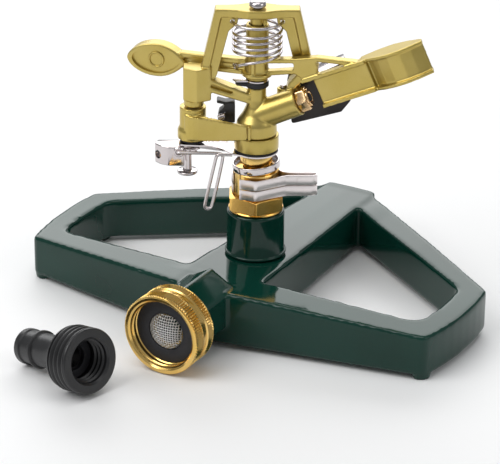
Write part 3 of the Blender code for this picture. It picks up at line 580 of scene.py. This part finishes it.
settle(spun([(5.3, 67.5), (8.5, 67.5)] + arc(8.45, 67.75, 0.25, -90, 0, 3) + arc(8.35, 72.85, 0.35, 0, 90, 3)
            + [(5.3, 73.2)], 96), "headBaseRing", "head", oldGold, ["head_base_ring"])
print("stack made")


inlet = {"z": 16.2, "back": 58.6, "front": 72.2, "radius": 16.0, "bore": 13.2, "teeth": 92}
inletPlace = spot(0.0, 0.0, inlet["z"]) @ turn(90.0, "X")


def nutShape():
    n = inlet
    knurl = 0.6
    back, front, r, bore = n["back"], n["front"], n["radius"], n["bore"]
    lip = back + 6.4
    profile = [(14.9, back), (15.5, back + 0.25), (r - 0.2, back + 0.6), (r, back + 0.9), (r, back + 4.0),
               (r - 0.25, back + 4.2), (15.2, back + 4.6), (15.05, back + 6.0), (15.2, back + 7.3),
               (r - 0.25, back + 7.7), (r, back + 7.9), (r, front - 1.95), (r - 0.3, front - 1.75)]
    profile += arc(r - 0.75, front - 0.95, 0.95, 10, 90)
    profile += [(14.4, front - 0.05), (bore + 0.5, front - 0.6), (bore + 0.3, front - 1.3)]
    for z in (front - 1.7, front - 3.9):
        profile += [(bore + 0.1, z), (bore - 0.25, z - 0.35), (bore - 0.25, z - 0.6), (bore + 0.1, z - 1.0)]
    profile += [(bore, lip), (9.2, lip), (9.2, back)]
    made = spun(profile, n["teeth"] * 2)
    for point in made.data.vertices:
        x, y, z = point.co
        radius = math.hypot(x, y)
        column = round(math.atan2(y, x) / (math.pi / n["teeth"]))
        if radius > r - 0.05 and column % 2:
            point.co.x *= (radius - knurl) / radius
            point.co.y *= (radius - knurl) / radius
    return made


settle(nutShape(), "swivelNut", "nut", polishedBrass, ["swivel_nut"], inletPlace, 25.0)
washerShape = spun([(13.0, 65.8), (13.0, 67.7), (12.7, 68.1), (10.4, 68.3), (7.9, 68.2), (7.5, 67.9),
                    (7.5, 65.8)], 96)
settle(washerShape, "hoseWasher", "nut", blackRubber, ["hose_washer"], inletPlace)


def screenShape():
    radius, rise, foot, count, steps = 7.2, 3.1, 66.9, 15, 28
    cell = radius * 2.0 / count
    wires = [spun([(7.45, 66.0), (7.45, 67.2), (7.2, 67.3), (6.9, 67.0), (6.9, 66.0)], 64)]
    for along in (0, 1):
        for i in range(count):
            offset = mix(-radius, radius, (i + 0.5) / count)
            half = math.sqrt(radius * radius - offset * offset)
            points = []
            for k in range(steps + 1):
                s = mix(-half, half, k / steps)
                across = math.hypot(s, offset) / radius
                height = foot + rise * math.sqrt(max(0.0, 1.0 - across * across * 0.98))
                weave = 0.17 * math.cos(math.pi * s / cell) * (1 if (i + along) % 2 else -1)
                points.append((s, offset, height + weave) if along else (offset, s, height + weave))
            wires.append(wired(points, 0.165, kind="POLY", sides=1))
    return joined(wires)


settle(screenShape(), "filterScreen", "nut", screenWire, ["filter_screen"], inletPlace, 60.0)
stemShape = spun([(8.0, 41.3), (8.0, 53.0), (8.9, 53.0), (8.9, 65.2), (12.4, 65.2), (12.4, 65.6), (5.8, 65.6),
                  (5.8, 41.3)])
settle(stemShape, "swivelStem", "base", polishedBrass, ["swivel_stem"], inletPlace)
print("inlet made")


head = {"yokeHalf": 3.0, "top": 125.2, "bar": 122.0, "post": -23.1, "pivot": -24.8, "voxel": 0.34,
        "jetRise": 25.5, "jetYaw": -12.0, "jetRoot": 80.4, "flap": (14.6, 93.6), "screw": (10.2, 2.1)}
jetPlace = spot(0.0, 0.0, head["jetRoot"]) @ turn(head["jetYaw"], "Z") @ turn(90.0 - head["jetRise"], "Y")
alongY = turn(-90.0, "X")
alongX = turn(90.0, "Y")
flapPlace = spot(head["flap"][0], 0.0, head["flap"][1]) @ alongY


def flat(outline, side):
    return [(side * x, z) for x, z in outline]


def makeHead():
    h = head
    half = h["yokeHalf"]
    rim = [(-22.0, 99.0), (-16.2, h["top"]), (16.2, h["top"]), (21.7, 101.6), (16.8, 95.2), (14.6, 93.0),
           (13.9, 90.6), (10.6, 90.0), (12.0, 94.8), (18.2, 102.4), (13.9, h["bar"]), (-13.9, h["bar"]),
           (-18.2, 101.8), (-18.6, 99.0)]
    gusset = [(18.6, 100.6), (14.3, 122.6), (7.2, 122.6), (7.6, 119.0), (9.2, 117.4), (11.0, 115.8),
              (15.4, 98.0), (16.6, 95.6)]
    body = [(0.01, 73.5), (7.9, 73.5), (8.0, 73.8), (7.8, 78.2), (7.3, 79.4), (5.5, 82.0), (4.2, 84.9),
            (3.7, 88.0), (3.6, 92.7), (3.4, 92.9), (0.01, 92.9)]
    crown = [(-12.0, -2.9), (-7.5, -3.6), (-3.4, -5.3), (3.4, -5.3), (7.5, -3.6), (12.0, -2.9), (12.0, 2.9),
             (7.5, 3.6), (3.4, 5.3), (-3.4, 5.3), (-7.5, 3.6), (-12.0, 2.9)]
    parts = [spun(body),
             plated(rim, -half, half), plated(gusset, -1.2, 1.2), plated(flat(gusset, -1.0), -1.2, 1.2),
             plated([(-18.2, 95.8), (-15.6, 95.4), (-3.0, 90.2), (-2.0, 86.8), (-18.2, 92.0)], -1.1, 1.1),
             barred((-18.0, 95.6), (-3.0, 89.7), 1.7, -half, half - 0.2),
             barred((-18.4, 92.4), (-2.6, 87.4), 1.9, -half, half - 0.2),
             slabbed([(-3.4, -9.6), (-2.3, -9.6), (-2.3, -6.5), (-3.4, -6.5)], 73.8, 79.3),
             slabbed(crown, h["bar"], h["top"]), rodded(2.9, 117.2, 122.5),
             slabbed([(2.2, -4.2), (3.7, -4.2), (3.7, -2.0), (2.2, -2.0)], 119.2, 122.5),
             rodded(5.6, 1.0, 18.3, jetPlace, 96)]
    six = [(x + h["post"], min(y, half)) for x, y in ngon(6, 10.8, -90.0)]
    parts += [slabbed(six, 88.0, 101.4), rodded(3.9, 85.2, 89.0, spot(h["pivot"] + 0.4, -0.2, 0.0)),
              rodded(2.4, 86.0, 91.6, spot(*h["screw"], 0.0)), rodded(2.3, 0.0, 6.9, flapPlace)]
    made = fused(parts, h["voxel"])
    tools = [rodded(5.3, 70.0, 80.3), rodded(3.2, 0.0, 19.5, jetPlace, 48), rodded(2.1, 89.4, 94.0),
             rodded(2.1, 116.0, 127.0), rodded(2.05, 84.0, 97.0, spot(h["pivot"], 0.0, 0.0)),
             rodded(1.5, 88.2, 95.0, spot(*h["screw"], 0.0)), rodded(1.5, 0.8, 8.0, flapPlace)]
    tools += [rodded(0.95, -3.0, 3.0, spot(x, 0.0, 119.8) @ alongY, 32) for x in (-9.6, 9.6)]
    return cut(made, tools)


headShape = makeHead()
settle(headShape, "headCasting", "head", oldGold, ["head_casting"], headTurn, 50.0)
print("head made", len(headShape.data.polygons))

tipShape = slabbed(ngon(6, 8.5, 30.0), 18.6, 22.6, soft=0.2)
cut(tipShape, [spun([(0.01, 18.0), (4.35, 18.0), (4.35, 18.6), (5.2, 19.4), (5.2, 21.6), (4.3, 22.6),
                     (4.3, 23.4), (0.01, 23.4)], 96)], "INTERSECT")
tipShape = joined([tipShape, spun([(1.9, 22.4), (3.5, 22.4), (3.5, 22.9)] + arc(3.1, 22.9, 0.4, 0, 90, 4)
                                  + [(2.3, 23.3), (1.9, 22.9)], 64),
                   rodded(2.9, 13.3, 18.7, sides=48)])
settle(tipShape, "nozzleTip", "head", tipBrass, ["nozzle_tip"], headTurn @ jetPlace, 30.0)
# Painted shade: the tip has no bore cut, so a black disc fills its mouth and stands in for the shaded hole of the
# jet.
settle(rodded(1.7, 22.0, 23.32, sides=48), "nozzleBoreShade", "head", blackRubber,
       place=headTurn @ jetPlace)

screwTop = spun([(0.01, 119.9), (1.5, 119.9), (1.5, 125.8), (3.1, 125.8), (3.3, 126.0), (3.3, 126.6)]
                + arc(1.7, 126.4, 1.6, 10, 90, 6) + [(0.01, 128.0)], 96)
settle(screwTop, "shaftScrew", "head", springSteel, ["shaft_screw"], headTurn)
sealTab = [(-3.4, -2.6), (-3.4, 2.2), (-7.6, 1.4), (-8.4, 0.2), (-7.8, -1.4)]
sealShape = joined([spun([(2.2, 93.2), (4.35, 93.2), (4.6, 93.5), (4.6, 94.9), (4.35, 95.2), (2.2, 95.2)]),
                    slabbed(sealTab, 93.5, 94.9, soft=0.3)])
settle(sealShape, "armSeal", "head", blackRubber, ["arm_seal"], headTurn)
washerTab = [(-3.2, -2.4), (-3.2, 2.4), (-8.6, 2.6), (-9.4, -0.4), (-8.0, -2.6)]
washerShape = joined([spun([(2.2, 95.5), (4.3, 95.5), (4.3, 96.0), (2.2, 96.0)]), slabbed(washerTab, 95.5, 96.0)])
settle(washerShape, "armWasher", "head", springSteel, ["arm_washer"], headTurn)
settle(rodded(1.8, 89.8, 119.6), "armShaft", "head", polishedBrass, ["arm_shaft"], headTurn)


arm = {"yaw": -17.0, "half": 1.9, "spoonRoot": (25.7, 94.5), "spoonRise": 24.3, "leaf": (-40.2, 99.9),
       "hook": (-8.9, 100.7), "voxel": 0.34}
armTurn = headTurn @ turn(arm["yaw"], "Z")


# The counterweight's leaf: blunt at its free end, drawn out towards the hub.
def leafOutline(shrink=0.0, count=40):
    middle, level = arm["leaf"]
    half, tall = 12.0 - 1.5 * shrink, 6.7 - shrink
    points = []
    for i in range(count):
        t = -math.cos(math.pi * i / count)
        points.append((middle + half * t, tall * (1.0 - t * t) ** (0.58 if t < 0.0 else 0.86)))
    upper = [(x, level + z) for x, z in points]
    lower = [(x, level - z) for x, z in points[:0:-1]]
    return upper + [(middle + half, level)] + lower


def makeArm():
    half = arm["half"]
    spoon = spot(arm["spoonRoot"][0], 0.0, arm["spoonRoot"][1]) @ turn(-arm["spoonRise"], "Y")
    wall = [(20.4, 0.5), (22.0, 0.9), (23.6, 0.4), (26.6, -1.4), (31.0, -2.9), (36.0, -2.9), (40.5, -1.6),
            (44.4, 0.6)]
    thick = [(x + 0.5, y + 1.7) for x, y in reversed(wall)]
    lips = [(18.6, 2.3), (21.0, -1.0), (26.0, -3.4), (31.0, -4.6), (36.0, -4.5), (41.0, -3.0), (45.6, -0.6),
            (44.6, 3.0), (38.0, 6.4), (31.8, 8.2), (25.0, 7.4), (18.6, 4.6)]
    parts = [rodded(4.4, 96.3, 118.7), rodded(5.9, 97.6, 99.2), plated(leafOutline(), -3.0, 3.0),
             barred((-31.0, 102.9), (-2.0, 102.9), 2.0, -half, half),
             barred((-31.0, 98.6), (-2.0, 98.6), 1.8, -half, half),
             plated([(-31.0, 98.2), (-2.0, 98.2), (-2.0, 103.2), (-31.0, 103.2)], -0.7, 0.7),
             barred((2.0, 104.0), (15.0, 105.6), 1.8, -half, half),
             barred((14.0, 105.4), (24.5, 107.4), 1.8, -half, half),
             barred((23.5, 107.3), (39.5, 107.3), 1.8, -half, half),
             barred((2.0, 98.8), (15.5, 101.3), 1.8, -half, half),
             plated([(15.0, 100.6), (18.8, 98.6), (24.2, 101.2), (24.6, 104.8), (23.2, 107.2), (15.0, 105.9)],
                    -half, 1.1),
             slabbed([(-0.8, -5.5), (0.6, -5.5), (0.6, -3.0), (-0.8, -3.0)], 98.2, 106.2),
             plated([(-1.0, -5.5), (21.6, -5.5), (21.6, 5.5), (-1.0, 5.5)], -0.8, 0.8, spoon),
             barred((-5.6, 5.9), (21.6, 5.9), 1.5, -2.4, half, spoon),
             barred((-1.0, -5.9), (21.6, -5.9), 1.5, -2.4, 2.4, spoon),
             slabbed(wall + thick, -6.4, 6.4, spoon), slabbed(lips, 5.4, 6.7, spoon),
             slabbed(lips, -6.7, -5.4, spoon)]
    made = fused(parts, arm["voxel"])
    face = leafOutline(1.35)
    hookX, hookZ = arm["hook"]
    cut(made, [plated(face, -4.0, -1.9), plated(face, 1.9, 4.0), rodded(3.4, 90.0, 120.0),
               rodded(0.9, -3.0, 3.0, spot(hookX, 0.0, hookZ) @ alongY, 32)])
    ring = spun([(2.5, 1.7), (2.5, 2.25), (2.7, 2.45), (3.1, 2.45), (3.3, 2.25), (3.3, 1.7)], 64,
                spot(-40.4, 0.0, 99.9) @ turn(90.0, "X"))
    return cut(made, [ring], "UNION")


armShape = makeArm()
settle(armShape, "armCasting", "arm", oldGold, ["arm_casting"], armTurn, 50.0)
print("arm made", len(armShape.data.polygons))


# Hooked in the arm below, four open turns, then a last turn that hooks in the yoke.
def springShape():
    foot, pitch, radius, turns, perTurn = 107.2, 2.32, 9.3, 4, 40
    wide, yokeHole = 9.65, 119.8
    hookX, hookZ = arm["hook"]
    across = math.radians(arm["yaw"])
    hook = Vector((hookX * math.cos(across), hookX * math.sin(across), hookZ))
    route = [hook + Vector((0.0, 3.0, 0.0)), hook, hook - Vector((0.0, 2.2, 0.0))]
    for angle, height in ((-160, 101.9), (-140, 103.6), (-115, 105.2), (-90, 106.2), (-60, 106.7),
                          (-30, 107.0)):
        a = math.radians(angle)
        route.append(Vector((radius * math.cos(a), radius * math.sin(a), height)))
    for i in range(turns * perTurn + 1):
        a = 2.0 * math.pi * i / perTurn
        route.append(Vector((radius * math.cos(a), radius * math.sin(a), foot + pitch * i / perTurn)))
    rise = route[-1].z
    for i in range(1, 38):
        a = math.radians(i * 9.6)
        share = min(a / math.pi, 1.0)
        reach = mix(radius, wide + 0.05, share)
        route.append(Vector((reach * math.cos(a), reach * math.sin(a), mix(rise, yokeHole, share * share))))
    route += [Vector((wide, y, yokeHole)) for y in (-0.6, 1.0, 2.4)]
    return wired(route, 0.6)


spring = settle(springShape(), "armSpring", None, springSteel, ["arm_spring"], headTurn, 60.0)
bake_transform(spring)
print("spring made")


trip = {"pivot": head["pivot"], "flipY": -6.0, "flipZ": 67.2, "bore": 2.05, "voxel": 0.32}
pivotPlace = spot(trip["pivot"], 0.0, 0.0)


def makeDog():
    band = [(-28.2, -3.4), (-27.9, -4.6), (-26.6, -5.9), (-24.6, -6.8), (-22.4, -7.5), (-19.2, -7.9),
            (-12.0, -9.3), (-3.9, -10.6), (-3.9, -8.9), (-12.0, -7.6), (-19.0, -6.0), (-21.0, -4.4),
            (-23.0, -2.6)]
    strip = slabbed(band, 72.8, 82.5)
    for point in strip.data.vertices:
        along = clamped((point.co.x + 19.2) / 15.3)
        point.co.z = mix(82.5, 80.2, along) if point.co.z > 78.0 else mix(72.8, 74.3, along)
    body = rodded(5.15, 71.4, 84.6, pivotPlace, 96)
    foot = spun([(0.01, 71.4), (5.7, 71.4), (5.85, 71.6), (5.85, 75.0), (5.2, 76.4), (0.01, 76.4)],
                place=spot(trip["pivot"] - 0.1, 0.0, 0.0))
    made = fused([body, strip, foot], trip["voxel"], 2)
    return cut(made, [rodded(trip["bore"], 70.0, 86.0, pivotPlace)])


settle(makeDog(), "tripDog", "trip", oldGold, ["trip_dog"], headTurn, 50.0)
settle(spun([(2.05, 70.4), (4.7, 70.4), (4.9, 70.6), (4.9, 70.9), (4.7, 71.1), (2.05, 71.1)], 64),
       "tripWasher", "trip", blackRubber, ["trip_washer"], headTurn @ pivotPlace)
pinShape = spun([(0.01, 56.0), (2.4, 56.3)] + arc(3.2, 57.1, 0.8, -60, 30, 5)
                + [(3.6, 57.7), (2.0, 57.8), (1.75, 58.0), (1.75, 66.6), (0.01, 66.6)], 64,
                spot(-2.2, 0.0, 0.0))
cut(pinShape, [spun([(0.01, 65.0), (1.75, 65.0), (1.75, 96.1), (1.5, 96.4), (0.01, 96.4)], 64)], "UNION")
settle(pinShape, "tripPin", "trip", brightChrome, ["trip_pin"], headTurn @ pivotPlace)


def makeLever():
    wirePlace = spot(-30.2, 0.0, trip["flipZ"] - 0.1) @ turn(90.0, "X")
    outer = [(-39.6, 1.6), (-39.6, -0.5), (-37.3, -3.1), (-34.2, -4.7), (-28.1, -4.7), (-28.1, 3.2),
             (-38.4, 3.2)]
    shell = slabbed(outer, 61.0, 69.0, soft=0.45, segments=3)
    inner = slabbed([(-38.5, 1.0), (-38.5, 0.0), (-36.7, -2.2), (-33.8, -3.6), (-27.0, -3.6), (-27.0, 2.1),
                     (-37.8, 2.1)], 60.0, 67.9)
    cut(shell, [inner])
    tongue = slabbed([(-29.5, -3.4), (-24.8, -3.6), (-24.8, 3.6), (-29.5, 3.0)], 67.4, 69.0)
    eye = rodded(3.6, 67.4, 69.0, pivotPlace)
    boss = spun([(1.1, 4.5), (1.1, 5.0), (1.3, 5.3), (1.8, 5.3), (2.1, 5.0), (2.1, 4.5)], 64, wirePlace)
    cut(shell, [tongue, eye, boss], "UNION")
    cut(shell, [rodded(trip["bore"], 60.0, 70.0, pivotPlace, 48),
                rodded(1.75, -3.0, 3.0, spot(-38.45, -1.8, 64.8) @ turn(-138.5, "Z") @ alongX, 40),
                rodded(0.9, 3.5, 6.5, wirePlace, 32)])
    return rounded(shell, 0.18, 2, 50)


settle(makeLever(), "tripLever", "trip", brightChrome, ["trip_lever"], headTurn, 30.0)


# A hairpin: along the flip axis, down to a round bend and back up.
def wireShape():
    bend = [(-18.6 + 1.5 * math.cos(math.radians(a)), 45.4 + 1.5 * math.sin(math.radians(a)))
            for a in (-20, -55, -90, -125, -160, -193)]
    right = [(-30.6, 0.5, 67.2), (-30.2, 0.1, 67.2), (-29.0, 0.0, 67.2), (-24.0, 0.0, 67.2),
             (-14.8, 0.0, 67.2), (-13.4, 0.0, 66.9), (-12.8, 0.0, 65.6)]
    left = [(-15.9, -1.5, 65.2), (-15.4, -1.6, 66.8), (-14.6, -1.6, 67.3), (-12.0, -1.6, 67.25),
            (-9.4, -1.6, 67.2)]
    loop = [(x, -0.8 - 0.12 * i, z) for i, (x, z) in enumerate(bend)]
    return wired([(x, y + trip["flipY"], z) for x, y, z in right + loop + left], 0.65, finish=6, sides=4)


settle(wireShape(), "tripWire", "wire", brightChrome, ["trip_wire"], headTurn, 60.0)


# Each station gives x, height and half width; the narrow stretch leaves room for the flipped wire.
def plateStrip():
    rise = [(-30.2, 69.6, 3.6), (-29.6, 69.6, 4.5), (-27.5, 69.6, 5.0), (-22.0, 69.5, 5.2),
            (-19.0, 69.3, 4.5), (-17.0, 68.9, 4.4), (-14.6, 68.2, 4.4), (-12.4, 67.4, 4.4),
            (-10.4, 66.4, 4.6), (-9.0, 65.9, 5.2), (-5.6, 65.9, 6.4)]
    strip = slabbed([(x, -w) for x, z, w in rise] + [(x, w) for x, z, w in reversed(rise)], 0.0, 0.6)
    heights = {round(x, 3): z for x, z, w in rise}
    for point in strip.data.vertices:
        point.co.z += heights[min(heights, key=lambda x: abs(x - point.co.x))]
    cut(strip, [rodded(8.6, 65.9, 66.5, sides=96)], "UNION")
    cut(strip, [rodded(stack["bore"], 60.0, 70.0), rodded(trip["bore"], 60.0, 72.0, pivotPlace, 48)])
    return strip


settle(plateStrip(), "tripPlate", "head", brightChrome, ["trip_plate"], headTurn, 40.0)
print("trip gear made")


def stopShape():
    outline = [(-15.6, 86.3), (-15.4, 87.5), (-12.1, 86.6), (-8.7, 86.9), (-8.4, 85.2), (-8.4, 78.1),
               (-14.2, 78.2), (-15.2, 79.8), (-14.6, 82.8), (-13.0, 83.9), (-12.6, 85.7)]
    return rounded(plated(outline, -1.6, 3.4), 0.5, 3, 35)


def stopCoil():
    perTurn, radius, rise = 14.0, 1.3, 0.24
    points = []
    for i in range(60):
        a = 2.0 * math.pi * i / perTurn
        points.append((-15.0 + 0.62 * i / perTurn, -2.9 + radius * math.cos(a),
                       80.6 + radius * math.sin(a) + rise * i / perTurn))
    return wired(points, 0.25, kind="POLY", sides=1)


settle(stopShape(), "reversingStop", "head", blackPlastic, ["reversing_stop"], headTurn,
       30.0)
settle(stopCoil(), "stopSpring", "head", springSteel, ["trip_spring"], headTurn, 60.0)
print("stop made")


def flapShape():
    sheet = [(13.8, 74.4), (33.2, 79.6), (36.7, 84.2), (36.4, 96.0), (33.4, 103.6), (23.4, 99.0),
             (18.6, 97.6), (12.6, 97.2), (11.8, 92.6)]
    made = plated(roundedOutline(sheet, 0.9, 3), 7.2, 8.0)
    tongue = plated([(33.4, 103.6), (23.6, 99.1), (23.9, 98.4), (33.7, 102.9)], -1.4, 7.8)
    cut(made, [tongue], "UNION")
    cut(made, [rodded(1.5, 5.0, 10.0, flapPlace, 32)])
    return rounded(made, 0.15, 2, 50)


flapPiece = settle(flapShape(), "deflectorFlap", "flap", darkSteel, ["deflector_flap"], headTurn,
                   30.0)
flapPiece.data.materials.append(springSteel)                    # the sheared edges stay bright
across = headTurn @ Vector((0.0, 1.0, 0.0))
for face in flapPiece.data.polygons:
    if abs(face.normal.dot(across)) < 0.5:
        face.material_index = 1
flapPin = spun([(0.01, 1.2), (1.2, 1.2), (1.2, 8.3), (2.2, 8.3), (2.2, 8.9), (1.6, 9.3), (0.01, 9.4)], 48,
               flapPlace)
settle(flipped(flapPin), "deflectorPin", "head", springSteel, ["deflector_pin"], headTurn)
print("flap made")


adapter = {"tail": (-49.1, -89.2, 6.66), "yaw": -16.8, "rise": 11.5, "length": 38.4, "bore": 8.3,
           "thread": 12.6, "pitch": 2.45}


def adapterShape():
    thread, bore, end = adapter["thread"], adapter["bore"], adapter["length"]
    outer = [(5.7, 0.0), (6.5, 0.1), (6.9, 0.5), (7.0, 1.0), (7.0, 2.9), (6.5, 3.5), (6.5, 8.3), (7.1, 8.6),
             (7.4, 9.0), (7.4, 9.8), (7.1, 10.2), (6.5, 10.5), (6.55, 17.0), (6.6, 23.6), (7.3, 25.0),
             (7.3, 26.2), (7.6, 26.5), (11.6, 26.8), (12.1, 27.1), (12.2, 27.4), (12.2, 27.9)]
    for i in range(4):
        root = 28.2 + adapter["pitch"] * i
        outer += [(thread - 1.3, root), (thread - 0.2, root + 0.75), (thread, root + 1.0),
                  (thread, root + 1.5), (thread - 0.2, root + 1.75)]
    outer += [(thread, end - 0.9), (thread - 0.15, end - 0.4), (thread - 0.6, end), (bore + 0.9, end)]
    inner = [(bore + 0.1, end - 0.8)]
    z = end - 2.0
    while z > 29.6:
        inner += [(bore, z), (bore - 0.75, z - 0.5), (bore - 0.75, z - 0.7), (bore, z - 1.2)]
        z -= 2.3
    inner += [(bore, 28.7), (bore, 26.6), (4.4, 26.6), (4.4, 0.3), (4.7, 0.0)]
    return spun(outer + inner, 112)


adapterPlace = spot(*adapter["tail"]) @ turn(adapter["yaw"], "Z") @ turn(90.0 - adapter["rise"], "Y")
settle(adapterShape(), "hoseAdapter", "adapter", blackPlastic, ["hose_adapter"],
       adapterPlace, 30.0)
settle(spun([(5.0, 26.9), (8.0, 26.9), (8.0, 28.4), (7.8, 28.6), (5.2, 28.6), (5.0, 28.4)], 64),
       "adapterSeal", "adapter", blackRubber, ["adapter_seal"], adapterPlace)
print("adapter made")


stage = {"floor": 6.0, "pale": 0.86, "air": (0.92, 0.94, 0.96), "airStrength": 0.34,
         "cameraAzimuth": 29.744, "cameraHeight": 24.768, "roll": 0.486,
         "target": (-0.00261, 0.000122, 0.03012), "distance": 1.03124, "lens": 186.83}


def stageFinish():
    made, shader, at = newFinish("paleFloor")
    cloud = noise(at, 3.0)
    tone = stage["pale"]
    light = tone + 0.02
    colour = cloud.blend(rgb(tone, tone, tone), rgb(light, light, light))
    wireUp(shader, at, colour, 0.55 + cloud * 0.1)
    return made


clearPick()
bpy.ops.mesh.primitive_plane_add(size=stage["floor"])
floor = bpy.context.object
floor.name = "studioFloor"
floor.data.materials.append(stageFinish())


def outward(azimuth, height):
    a, e = math.radians(azimuth), math.radians(height)
    return Vector((math.sin(a) * math.cos(e), -math.cos(a) * math.cos(e), math.sin(e)))


def lamp(name, azimuth, height, distance, size, power, tall=None):
    back = outward(azimuth, height)
    light = bpy.data.lights.new(name, "AREA")
    light.shape = "RECTANGLE"
    light.size = size
    light.size_y = tall or size
    light.energy = power
    holder = bpy.data.objects.new(name, light)
    holder.location = back * distance + Vector((0.0, 0.0, 0.05))
    holder.rotation_euler = (-back).to_track_quat("-Z", "Y").to_euler()
    bpy.context.scene.collection.objects.link(holder)


lamp("backPanel", 210.0, 30.0, 1.6, 2.0, 15.0, tall=1.0)
lamp("keyPanel", -35.0, 48.0, 1.4, 0.9, 10.0)
lamp("fillPanel", 100.0, 35.0, 1.5, 0.7, 3.0)
lamp("topPanel", 20.0, 86.0, 1.5, 0.9, 5.0)
world = bpy.data.worlds.new("studioAir")
bpy.context.scene.world = world
world.use_nodes = True
world.node_tree.nodes["Background"].inputs["Color"].default_value = rgb(*stage["air"])
world.node_tree.nodes["Background"].inputs["Strength"].default_value = stage["airStrength"]


def aimCamera():
    s = stage
    back = outward(s["cameraAzimuth"], s["cameraHeight"])
    r = math.radians(s["roll"])
    side = Vector((0, 0, 1)).cross(back).normalized()
    up = back.cross(side)
    right = side * math.cos(r) + up * math.sin(r)
    above = up * math.cos(r) - side * math.sin(r)
    data = bpy.data.cameras.new("studioCamera")
    data.lens = s["lens"]
    data.clip_start = 0.01
    made = bpy.data.objects.new("studioCamera", data)
    place = Matrix((right, above, back)).transposed().to_4x4()
    place.translation = Vector(s["target"]) + back * s["distance"]
    made.matrix_world = place
    bpy.context.scene.collection.objects.link(made)
    bpy.context.scene.camera = made


aimCamera()
bpy.context.scene.view_settings.view_transform = "Standard"
clearPick()
print("stage set")
